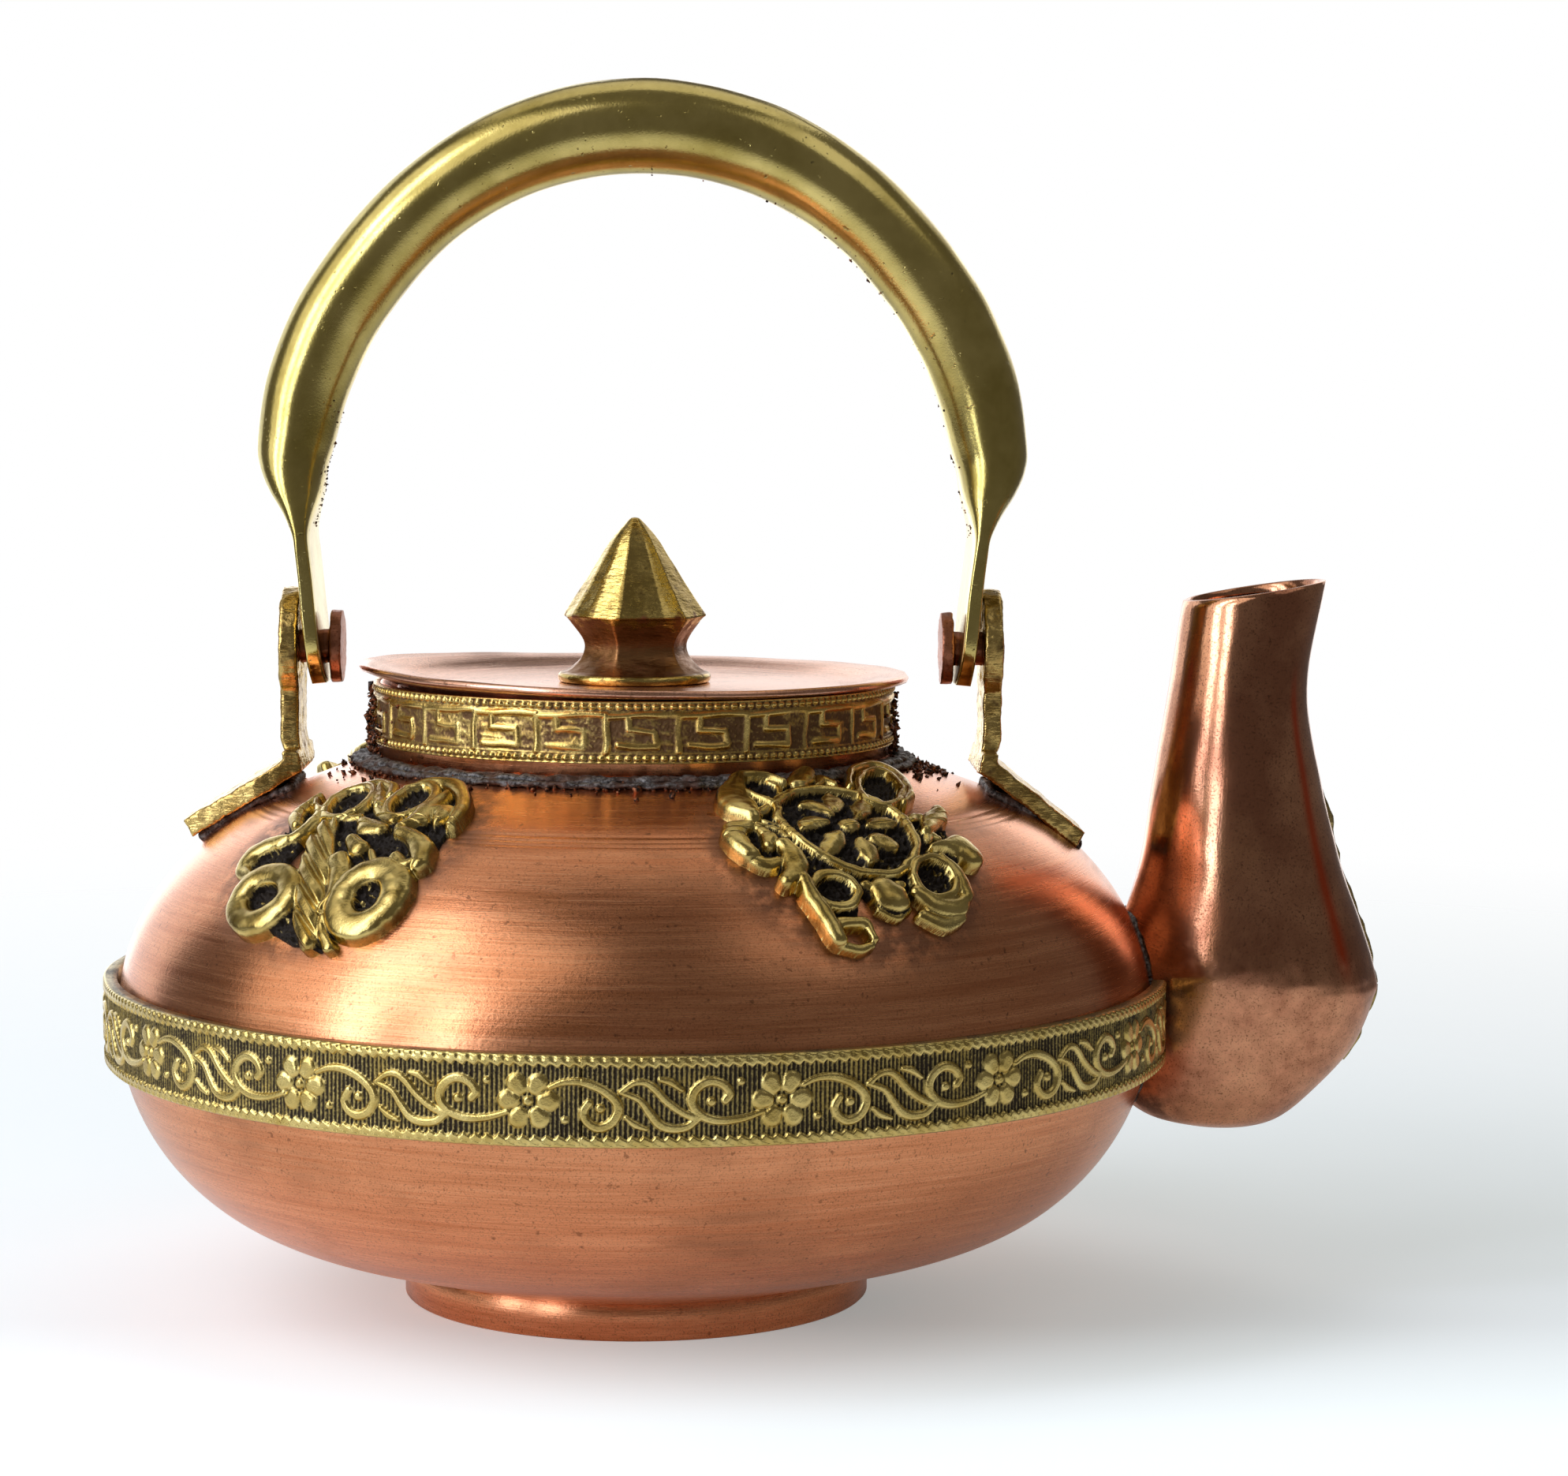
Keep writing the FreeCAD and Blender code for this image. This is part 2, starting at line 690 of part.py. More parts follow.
def ring_wire(centre, across, along, half_across, half_along, squareness):
    """Closed smooth section about centre; a squareness above ELLIPSE is flatter."""
    points = []
    for step in range(SECTION_POINTS):
        angle = 2 * math.pi * step / SECTION_POINTS
        cosine, sine = math.cos(angle), math.sin(angle)
        power = 2 / squareness
        first = math.copysign(abs(cosine) ** power, cosine) * half_across
        second = math.copysign(abs(sine) ** power, sine) * half_along
        points.append(centre + across * first + along * second)
    curve = Part.BSplineCurve()
    curve.interpolate(points, PeriodicFlag=True)
    return Part.Wire([curve.toShape()])


def station_rows(name, table):
    """The rows of a station table, read back from the sheet."""
    return [[size("%s_%d_%d" % (name, row, column)) for column in range(len(values))]
            for row, values in enumerate(table)]


def bail_sections(inset, side):
    """Sections of the tube on one side, from the crown down to the pressed end."""
    sections = []
    round_half = size("bail_tube_width") / 2
    for degrees, outer, inner in station_rows("arch", BAIL_ARCH):
        angle = math.radians(degrees)
        out = vector(side * math.cos(angle), 0, math.sin(angle))
        centre = Z_AXIS * size("bail_centre_height") + out * ((outer + inner) / 2)
        half = (outer - inner) / 2
        width = round_half * math.sqrt(round_half / half)
        sections.append(ring_wire(centre, out, Y_AXIS, half - inset, width - inset, ELLIPSE))
    for height, middle, half, width in station_rows("taper", BAIL_TAPER):
        if inset > 0 and half - inset < size("bore_least_half"):
            break
        squareness = ELLIPSE + (round_half - half) * size("flattening")
        centre = vector(side * middle, 0, height)
        sections.append(ring_wire(centre, X_AXIS * side, Y_AXIS, half - inset, width - inset,
                                  squareness))
    return sections


def bail_tube(inset):
    """The whole arch as one loft, from one pressed end to the other."""
    left = bail_sections(inset, -1)
    right = bail_sections(inset, 1)
    return Part.makeLoft(left[:0:-1] + right, True, False)


def bail_tab():
    """Flat drilled end of the bail, with its two lower corners clipped."""
    tilt = math.radians(size("tab_tilt"))
    up = vector(math.sin(tilt), 0, math.cos(tilt))
    face = vector(math.cos(tilt), 0, -math.sin(tilt))
    pivot = vector(size("tab_pivot"), 0, size("pivot_height"))
    rise = (size("tab_top") - size("pivot_height")) / math.cos(tilt)
    drop = (size("pivot_height") - size("tab_bottom")) / math.cos(tilt)
    half = size("tab_width") / 2
    clip = size("tab_clip")
    back = pivot - face * (size("tab_wall") / 2)
    corners = [(-half, rise), (half, rise), (half, clip - drop), (half - clip, -drop),
               (clip - half, -drop), (-half, clip - drop), (-half, rise)]
    wire = Part.makePolygon([back + Y_AXIS * across + up * along for across, along in corners])
    plate = Part.Face(wire).extrude(face * size("tab_wall"))
    reach = size("rivet_head_radius")
    hole = Part.makeCylinder(size("rivet_radius") + size("rivet_play"), 2 * reach,
                             pivot - X_AXIS * reach, X_AXIS)
    return plate.cut(hole)


def make_bail():
    """One tube bent to an arch, its ends pressed flat and drilled for the rivets."""
    tube = bail_tube(0.0).cut(bail_tube(size("bail_wall")))
    tab = bail_tab()
    bail = tube.fuse([tab, tab.mirror(vector(), X_AXIS)])
    shape_feature("bail_handle", bail).Placement.Base = vector(size("bail_offset"), 0, 0)


# ---------------------------------------------------------------- spout

def body_core():
    """Solid within the outer surface of the copper body."""
    def place(corner):
        return vector(number(corner[0]), 0, number(corner[1]))

    def arc(first, last, radius):
        middle = (first + last) * 0.5
        half = (last - first).Length / 2
        left = Y_AXIS.cross(last - first).normalize()
        bulge = radius - math.sqrt(radius ** 2 - half ** 2)
        return Part.Arc(first, middle + left * bulge, last).toShape()

    bowl = bowl_corners("0")
    dome = dome_points("0")
    floor, edge, cone, equator = [place(corner) for corner in bowl]
    join, crease, facet = [place(dome[name]) for name in ("join", "crease", "facet")]
    top = place(("0", cone_height(dome, "0")))
    edges = [
        Part.LineSegment(floor, edge).toShape(),
        Part.LineSegment(edge, cone).toShape(),
        arc(cone, equator, size("bowl_arc")),
        arc(equator, join, size("dome_arc_low")),
        arc(join, crease, size("dome_arc_high")),
        Part.LineSegment(crease, facet).toShape(),
        Part.LineSegment(facet, top).toShape(),
        Part.LineSegment(top, floor).toShape(),
    ]
    return Part.Face(Part.Wire(edges)).revolve(vector(), Z_AXIS, 360)


def spout_sections(inset):
    """Level oval sections from the bottom up, then the slanted mouth."""
    sections = []
    rows = station_rows("spout", SPOUT_STATIONS)
    for height, inner, outer, width in rows:
        lift = inset if height == rows[0][0] else 0
        centre = vector((inner + outer) / 2, 0, height + lift)
        half = (outer - inner) / 2 - inset
        sections.append(ring_wire(centre, X_AXIS, Y_AXIS, half, width - inset, ELLIPSE))
    tilt = math.radians(size("spout_mouth_tilt"))
    across = vector(math.cos(tilt), 0, math.sin(tilt))
    # the bore's last section stands a little proud, so that it opens the mouth cleanly
    rise = inset * size("spout_mouth_relief")
    centre = vector(size("spout_mouth_middle"), 0, size("spout_mouth_height") + rise)
    sections.append(ring_wire(centre, across, Y_AXIS, size("spout_mouth_length") / 2 - inset,
                              size("spout_mouth_width") / 2 - inset, ELLIPSE))
    return sections


def make_spout():
    """Two pressed halves, and the brazed seam that joins them along the middle plane."""
    outer = Part.makeLoft(spout_sections(0.0), True, False)
    inner = Part.makeLoft(spout_sections(size("spout_wall")), True, False)
    shell = outer.cut(inner).cut(body_core())
    seam = size("seam_width") / 2
    reach = size("cut_reach")
    near_side = Part.makeBox(reach, reach, reach, vector(0, -reach - seam, 0))
    far_side = Part.makeBox(reach, reach, reach, vector(0, seam, 0))
    middle = Part.makeBox(reach, 2 * seam, reach, vector(0, -seam, 0))
    shape_feature("spout_near_half", shell.common(near_side))
    shape_feature("spout_far_half", shell.common(far_side))
    shape_feature("spout_seam", shell.common(middle))


# ---------------------------------------------------------------- medallions

def make_medallion(label, azimuth):
    """Round plate that follows the shoulder, standing at an azimuth from the spout."""
    under = dome_points("0")
    over = dome_points("params.medal_wall")
    low_centre = "(params.equator_radius - params.dome_arc_low)"
    angle = "params.medal_bottom_angle * 1deg"

    def low_corner(points):
        return ("%s + %s * cos(%s)" % (low_centre, points["low"], angle),
                "params.equator_height + %s * sin(%s)" % (points["low"], angle))

    top = "params.medal_top_radius"
    body = new_body(label + "_plate")
    sketch = new_sketch(body, label + "_outline", "XZ_Plane")
    outline(sketch, [
        low_corner(over) + (over["low"], 1),
        over["join"] + (over["high"], 1),
        over["crease"],
        over["facet"],
        (top, cone_height(over, top)),
        (top, cone_height(under, top)),
        under["facet"],
        under["crease"] + (under["high"], -1),
        under["join"] + (under["low"], -1),
        low_corner(under),
    ])
    feature = revolve(body, sketch, label + "_turned", midplane=True)
    feature.setExpression("Angle", "params.medal_sector")
    tilt = math.radians(size("medal_tilt"))
    normal = vector(math.sin(tilt), 0, math.cos(tilt))
    crease_height = number(under["crease"][1])
    reach = size("medal_radius")
    base = vector(size("medal_centre_radius"), 0, crease_height) - normal * reach
    rim = primitive("Cylinder", label + "_rim", {
        "Radius": "params.medal_radius",
        "Height": "2 * params.medal_radius"}, base, normal)
    medal = combine("Common", label, body, rim)
    medal.Placement = FreeCAD.Placement(vector(), FreeCAD.Rotation(Z_AXIS, azimuth))


# ---------------------------------------------------------------- build everything

make_lower_bowl()
make_upper_dome()
make_foot()
make_belly_band()
make_neck()
make_lid()
make_knob()
for hand, side in (("left", -1), ("right", 1)):
    make_lug(hand + "_lug", side)
    make_rivet(hand + "_rivet", side)
make_bail()
make_spout()
MEDALLIONS = {
    "medallion_front_left": 180 + size("medal_left_azimuth"),
    "medallion_front_right": -size("medal_right_azimuth"),
    "medallion_back_left": 180 - size("medal_left_azimuth"),
    "medallion_back_right": size("medal_right_azimuth"),
}
for label, azimuth in MEDALLIONS.items():
    make_medallion(label, azimuth)

NODES = [
    "body_lower_bowl", "body_upper_dome", "foot_ring", "foot_solder", "belly_band",
    "neck_collar", "neck_band", "neck_solder",
    "lid_dish", "lid_locating_ring", "lid_knob", "lid_knob_washer",
    "left_lug", "right_lug", "left_rivet", "right_rivet", "bail_handle",
    "spout_near_half", "spout_far_half", "spout_seam",
] + list(MEDALLIONS)

doc.recompute()
for item in doc.Objects:
    if "Invalid" in item.State or "Error" in item.State:
        raise RuntimeError("%s did not recompute: %s" % (item.Label, item.State))

os.makedirs("parts", exist_ok=True)
for label in NODES:
    part_object = doc.getObjectsByLabel(label)[0]
    shape = part_object.Shape
    if shape.isNull() or not shape.isValid() or not shape.Solids:
        raise RuntimeError("%s has no valid solid" % label)
    shape.exportStep("parts/%s.step" % label)
    box = shape.BoundBox
    print("%-20s solids %d volume %9.1f box %s" % (
        label, len(shape.Solids), shape.Volume,
        [round(v, 2) for v in (box.XMin, box.XMax, box.YMin, box.YMax, box.ZMin, box.ZMax)]))
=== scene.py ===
import math

import bmesh
import bpy
import numpy as np
from mathutils import Matrix, Vector


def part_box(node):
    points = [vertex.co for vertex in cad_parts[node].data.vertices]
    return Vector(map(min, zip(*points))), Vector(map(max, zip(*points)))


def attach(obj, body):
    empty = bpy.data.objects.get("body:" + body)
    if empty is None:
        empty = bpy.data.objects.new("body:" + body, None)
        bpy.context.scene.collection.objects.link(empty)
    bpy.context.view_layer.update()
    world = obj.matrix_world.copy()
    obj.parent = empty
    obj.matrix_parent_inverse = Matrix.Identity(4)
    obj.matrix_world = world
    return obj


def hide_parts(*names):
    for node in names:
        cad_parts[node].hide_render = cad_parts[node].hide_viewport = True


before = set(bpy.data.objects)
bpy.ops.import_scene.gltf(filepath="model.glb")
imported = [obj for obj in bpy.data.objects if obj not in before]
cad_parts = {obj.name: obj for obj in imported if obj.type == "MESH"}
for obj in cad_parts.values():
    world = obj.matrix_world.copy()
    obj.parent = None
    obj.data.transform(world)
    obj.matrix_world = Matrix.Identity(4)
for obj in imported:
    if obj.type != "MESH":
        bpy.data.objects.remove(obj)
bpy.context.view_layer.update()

# A spun-copper teapot with brass trim. Sizes are millimetres in the frame's own axes: +X to
# the spout, +Z up, the foot's centre on the floor at the origin. Meshes are scaled to metres
# as they are made.
MM = 0.001

# ---------------------------------------------------------------- sizes

# copper body: tangent arcs about these centres, with the same outline as the CAD shells
SHEET = 1.0
EQUATOR_HEIGHT = 37.0
BOWL_CENTRE = (37.2, EQUATOR_HEIGHT)
BOWL_ARC = 29.0
CONE_ANGLE = 16.3
FLOOR_RADIUS = 29.0
FOOT_WALL = 1.2
FOOT_LAP = 0.4
DOME_LOW_CENTRE = (39.2, EQUATOR_HEIGHT)
DOME_LOW_ARC = 27.0
DOME_JOIN = 37.2
DOME_HIGH_CENTRE = (30.439, 30.349)
DOME_HIGH_ARC = 38.0
CREASE = 59.0
FACET_WIDTH = 4.5
FACET_SLOPE = 24.0
NECK_SLOPE = 20.0
# lathe grooves across the facet: share of its width, and lift
FACET_GROOVES = [
    (0.05, 0.0), (0.13, 0.0), (0.17, -0.06), (0.21, 0.0), (0.34, 0.02), (0.38, -0.05), (0.42, 0.0),
    (0.58, 0.02), (0.62, -0.07), (0.66, 0.0), (0.80, 0.0), (0.94, 0.0)]


def node_box(node):
    """Lowest and highest corner of a CAD node, in millimetres."""
    low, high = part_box(node)
    return np.array(low) / MM, np.array(high) / MM


def node_centre(node):
    low, high = node_box(node)
    return (low + high) / 2


def node_radius(node):
    """Radius of a CAD node that is round about a vertical line."""
    low, high = node_box(node)
    return (high[1] - low[1]) / 2


# ---------------------------------------------------------------- lines and surfaces

def smooth_step(value):
    value = np.clip(value, 0.0, 1.0)
    return value * value * (3 - 2 * value)


def ripple(points, length, seed, waves=14):
    """Smooth unevenness, mostly from -1 to 1, whose swells are about length across."""
    random = np.random.default_rng(seed)
    directions = random.normal(size=(waves, 3))
    directions /= np.linalg.norm(directions, axis=1)[:, None]
    turns = 2 * math.pi / (length * random.uniform(0.7, 1.6, waves))
    phases = random.uniform(0, 2 * math.pi, waves)
    waves_at = np.sin(np.asarray(points) @ (directions * turns[:, None]).T + phases)
    return waves_at.sum(-1) / math.sqrt(waves)


def spline(rows, steps):
    """Smooth line through rows of numbers, with steps points from each row to the next."""
    rows = np.asarray(rows, float)
    padded = np.vstack([2 * rows[0] - rows[1], rows, 2 * rows[-1] - rows[-2]])
    share = np.linspace(0, 1, steps, endpoint=False)[:, None]
    parts = []
    for before, start, end, after in zip(padded, padded[1:], padded[2:], padded[3:]):
        leave = (end - before) / 2
        arrive = (after - start) / 2
        parts.append(start * (2 * share**3 - 3 * share**2 + 1) + leave * (share**3 - 2 * share**2 + share)
                     + end * (3 * share**2 - 2 * share**3) + arrive * (share**3 - share**2))
    return np.vstack(parts + [rows[-1:]])


def arc(centre, radius, first, last, count):
    """Points on an arc from one angle to another, in degrees."""
    angles = np.radians(np.linspace(first, last, count))
    return np.stack([centre[0] + radius * np.cos(angles), centre[1] + radius * np.sin(angles)], 1)


def soften(corners, reach=0.25):
    """Puts two close points in place of each corner of a closed outline, so its edges are round."""
    corners = np.asarray(corners, float)
    softened = []
    for before, corner, after in zip(np.roll(corners, 1, 0), corners, np.roll(corners, -1, 0)):
        for other in (before, after):
            away = other - corner
            distance = np.linalg.norm(away)
            if distance < 1e-9:
                continue
            softened.append(corner + away * min(reach / distance, 0.3))
    return np.array(softened)


def tube_outline(inner, outer, low, high, reach=0.25):
    """Section of the wall of a short tube, with its corners worn round."""
    return soften([(inner, low), (outer, low), (outer, high), (inner, high)], reach)


def resample(line, steps):
    """Points of a line at steps, which count its own points from 0."""
    numbers = np.arange(len(line))
    return np.stack([np.interp(steps, numbers, column) for column in np.asarray(line).T], 1)


def grid_faces(rows, columns, close_rows=False, close_columns=False):
    row = np.arange(rows if close_rows else rows - 1)
    column = np.arange(columns if close_columns else columns - 1)
    row, column = np.meshgrid(row, column, indexing="ij")
    below = (row + 1) % rows
    right = (column + 1) % columns
    near, far = row * columns, below * columns
    corners = [near + column, near + right, far + right, far + column]
    return np.stack(corners, -1).reshape(-1, 4).tolist()


def add_object(name, data):
    item = bpy.data.objects.new(name, data)
    bpy.context.scene.collection.objects.link(item)
    return item


def applied(item):
    """The mesh of an object, with its modifiers applied."""
    graph = bpy.context.evaluated_depsgraph_get()
    return bpy.data.meshes.new_from_object(item.evaluated_get(graph))


def read_points(mesh):
    """A mesh's points, in millimetres."""
    points = np.empty(len(mesh.vertices) * 3)
    mesh.vertices.foreach_get("co", points)
    return points.reshape(-1, 3) / MM


def move_points(mesh, points):
    mesh.vertices.foreach_set("co", (points * MM).ravel())
    mesh.update()


# metres: points this close are one point, and a face of less area than this is none
SAME_PLACE = 1e-7
NO_AREA = 1e-15


def closed_mesh(name, points, faces, merge=False, relief=None):
    """A mesh from points in millimetres, with its faces turned outwards."""
    mesh = bpy.data.meshes.new(name)
    mesh.from_pydata((np.asarray(points, float) * MM).tolist(), [], faces)
    if relief is not None:
        attribute = mesh.attributes.new("relief", "FLOAT", "POINT")
        attribute.data.foreach_set("value", np.asarray(relief, np.float32).ravel())
    work = bmesh.new()
    work.from_mesh(mesh)
    if merge:
        bmesh.ops.remove_doubles(work, verts=work.verts, dist=SAME_PLACE)
        empty = [face for face in work.faces if face.calc_area() < NO_AREA]
        bmesh.ops.delete(work, geom=empty, context="FACES_ONLY")
    bmesh.ops.recalc_face_normals(work, faces=work.faces)
    work.to_mesh(mesh)
    work.free()
    return mesh


def add_piece(name, points, faces, material, body, replaces=(), relief=None, merge=False):
    """A piece from points in millimetres that rides on a body and stands for its CAD nodes."""
    mesh = closed_mesh(name, points, faces, merge, relief)
    place_mesh(name, mesh, material, body, replaces)


def place_mesh(name, mesh, material, body, replaces=()):
    mesh.polygons.foreach_set("use_smooth", [True] * len(mesh.polygons))
    piece = add_object(name, mesh)
    mesh.materials.clear()
    mesh.materials.append(material)
    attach(piece, body)
    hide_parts(*replaces)


def lathe_points(outline, segments, centre=(0.0, 0.0)):
    """A closed outline of (radius, height) turned about a vertical line."""
    turn = np.linspace(0, 2 * math.pi, segments, endpoint=False)[:, None]
    radius, height = np.asarray(outline).T[:, None]
    height = np.broadcast_to(height, (segments, len(outline)))
    return np.stack([centre[0] + radius * np.cos(turn), centre[1] + radius * np.sin(turn), height], -1)


def lathe(name, outline, segments, centre, material, body, replaces=(), shape=None):
    points = lathe_points(outline, segments, centre)
    if shape is not None:
        points = shape(points)
    faces = grid_faces(segments, len(outline), True, True)
    add_piece(name, points.reshape(-1, 3), faces, material, body, replaces, merge=True)


def oval(centre, across, along, half_across, half_along, squareness, count):
    """Closed section; squareness 2 is an ellipse, and more is nearer to a rectangle."""
    turn = np.linspace(0, 2 * math.pi, count, endpoint=False)[:, None]
    cosine, sine = np.cos(turn), np.sin(turn)
    power = 2 / squareness
    first = np.sign(cosine) * np.abs(cosine) ** power * half_across
    second = np.sign(sine) * np.abs(sine) ** power * half_along
    return np.asarray(centre) + np.asarray(across) * first + np.asarray(along) * second


def skin(sections):
    """Points and faces of a closed skin over sections, with a fan at each end."""
    rows, columns = len(sections), len(sections[0])
    points = np.vstack([np.vstack(sections), sections[0].mean(0)[None], sections[-1].mean(0)[None]])
    faces = grid_faces(rows, columns, False, True)
    first, last = rows * columns, rows * columns + 1
    for column in range(columns):
        following = (column + 1) % columns
        faces.append([first, following, column])
        faces.append([last, (rows - 1) * columns + column, (rows - 1) * columns + following])
    return points, faces


def bead(line, radius, seed, around=10, lump=0.35, length=3.0, flat=1.0):
    """Lumpy tube along a closed line, as solder lies in a corner; flat is its height for its width."""
    line = np.asarray(line, float)
    forward = np.roll(line, -1, 0) - np.roll(line, 1, 0)
    forward /= np.linalg.norm(forward, axis=1)[:, None]
    side = np.cross(forward, (0, 0, 1.0))
    side /= np.maximum(np.linalg.norm(side, axis=1)[:, None], 1e-6)
    up = np.cross(side, forward)
    rows = []
    for step in range(around):
        turn = 2 * math.pi * step / around
        spoke = side * math.cos(turn) + up * math.sin(turn) * flat
        size = radius * (1 + lump * ripple(line + spoke * radius, length, seed))
        rows.append(line + spoke * size[:, None])
    points = np.stack(rows, 1)
    return points.reshape(-1, 3), grid_faces(len(line), around, True, True)


# ---------------------------------------------------------------- materials

def node(tree, kind, inputs=None, **settings):
    """A shader node with its settings, and its inputs joined or set."""
    item = tree.nodes.new("ShaderNode" + kind)
    for key, value in settings.items():
        setattr(item, key, value)
    for key, value in (inputs or {}).items():
        socket = item.inputs[key]
        if isinstance(value, bpy.types.NodeSocket):
            tree.links.new(value, socket)
        else:
            socket.default_value = value
    return item


def calc(tree, operation, first, second=0.0):
    return node(tree, "Math", {0: first, 1: second}, operation=operation).outputs[0]


def add(tree, first, second):
    return calc(tree, "ADD", first, second)


def times(tree, first, second):
    return calc(tree, "MULTIPLY", first, second)


def here(tree):
    """Where the shaded point lies in its own piece, in metres."""
    return node(tree, "TexCoord").outputs["Object"]


def height_here(tree):
    return node(tree, "SeparateXYZ", {0: here(tree)}).outputs[2]


def fade(tree, value, low, high, start=0.0, end=1.0):
    """Carries low..high of a value to start..end, and no further."""
    inputs = {"Value": value, "From Min": low, "From Max": high, "To Min": start, "To Max": end}
    return node(tree, "MapRange", inputs, clamp=True).outputs[0]


def blend(tree, share, first, second):
    item = node(tree, "Mix", {"Factor": share}, data_type="RGBA")
    for key, value in ((6, first), (7, second)):
        if isinstance(value, bpy.types.NodeSocket):
            tree.links.new(value, item.inputs[key])
        else:
            item.inputs[key].default_value = (*value, 1.0)
    return item.outputs[2]


def noise(tree, size, detail=4.0, roughness=0.55, stretch=None):
    """Noise whose features are about size millimetres across."""
    place = here(tree)
    if stretch:
        place = node(tree, "Mapping", {"Vector": place, "Scale": stretch}).outputs[0]
    inputs = {"Vector": place, "Scale": 1 / (size * MM), "Detail": detail, "Roughness": roughness}
    return node(tree, "TexNoise", inputs).outputs[0]


def turned_lines(tree, size, run, detail):
    """Noise drawn out along circles about the pot's middle, as a lathe tool or emery leaves it."""
    across, along, up = node(tree, "SeparateXYZ", {0: here(tree)}).outputs
    square = add(tree, times(tree, across, across), times(tree, along, along))
    radius = calc(tree, "MAXIMUM", calc(tree, "SQRT", square), 1e-5)
    scale = 1 / (size * MM)
    around = {
        0: times(tree, calc(tree, "DIVIDE", across, radius), run),
        1: times(tree, calc(tree, "DIVIDE", along, radius), run),
        2: times(tree, up, scale),
    }
    vector = node(tree, "CombineXYZ", around).outputs[0]
    inputs = {"Vector": vector, "W": times(tree, radius, scale), "Scale": 1.0, "Detail": detail,
              "Roughness": 0.6}
    return node(tree, "TexNoise", inputs, noise_dimensions="4D").outputs[0]


def finish_metal(material, colour, roughness, height, depth, metallic=1.0, anisotropic=0.0):
    """Joins colour, roughness and bump to one metal shader."""
    tree = material.node_tree
    bump = node(tree, "Bump", {"Height": height, "Distance": depth * MM, "Strength": 1.0})
    inputs = {"Base Color": colour, "Roughness": roughness, "Metallic": metallic, "Normal": bump.outputs[0]}
    shader = node(tree, "BsdfPrincipled", inputs)
    if anisotropic:
        shader.inputs["Anisotropic"].default_value = anisotropic
        shader.inputs["Anisotropic Rotation"].default_value = 0.25
        tangent = node(tree, "Tangent", direction_type="RADIAL", axis="Z")
        tree.links.new(tangent.outputs[0], shader.inputs["Tangent"])
    output = node(tree, "OutputMaterial")
    tree.links.new(shader.outputs[0], output.inputs["Surface"])
    return material


def new_material(name):
    """An empty material and its node tree."""
    material = bpy.data.materials.new(name)
    material.use_nodes = True
    material.node_tree.nodes.clear()
    return material, material.node_tree


def add_soot_and_shade(tree, colour, rough, soot_and_shade):
    """Adds dark, rougher patches of burnt flux to a colour and a roughness, each a centre and a reach; by the
    spout's joint they are painted shade as well.
    """
    for spot, reach in soot_and_shade:
        inputs = {0: here(tree), 1: spot * MM}
        away = node(tree, "VectorMath", inputs, operation="DISTANCE").outputs["Value"]
        edge = fade(tree, away, reach * MM, (reach - 3.5) * MM)
        patch = times(tree, edge, fade(tree, noise(tree, 2.4), 0.36, 0.56))
        colour = blend(tree, times(tree, patch, 0.62), colour, (0.09, 0.055, 0.04))
        rough = add(tree, rough, times(tree, patch, 0.18))
    return colour, rough


def turned_copper(name, light, dark, shine=0.24, soot_and_shade=()):
    """Spun sheet: fine circular lines, soft bands of tone, thin brown tarnish and burnt flux by castings."""
    material, tree = new_material(name)
    tarnish = (0.20, 0.075, 0.035)
    fine = turned_lines(tree, 0.16, 7.0, 4.0)
    broad = turned_lines(tree, 1.3, 1.6, 3.0)
    cloud = noise(tree, 22.0, 5.0)
    grain = noise(tree, 0.22, 3.0)
    tone = add(tree, times(tree, fine, 0.5), times(tree, broad, 0.5))
    colour = blend(tree, fade(tree, tone, 0.40, 0.60), dark, light)
    stain = times(tree, fade(tree, cloud, 0.50, 0.70), fade(tree, broad, 0.40, 0.60, 0.3, 1.0))
    colour = blend(tree, times(tree, stain, 0.5), colour, tarnish)
    colour = blend(tree, fade(tree, grain, 0.54, 0.70, 0.0, 0.6), colour, tarnish)
    speck = fade(tree, noise(tree, 0.9, 2.0), 0.66, 0.74)
    colour = blend(tree, times(tree, speck, 0.6), colour, tarnish)
    rough = add(tree, fade(tree, tone, 0.3, 0.7, shine - 0.04, shine + 0.07), times(tree, stain, 0.12))
    colour, rough = add_soot_and_shade(tree, colour, rough, soot_and_shade)
    peel = noise(tree, 0.6, 2.0)
    pitting = add(tree, times(tree, grain, 0.4), times(tree, peel, 0.7))
    height = add(tree, fine, add(tree, broad, pitting))
    return finish_metal(material, colour, rough, height, 0.018, anisotropic=0.55)


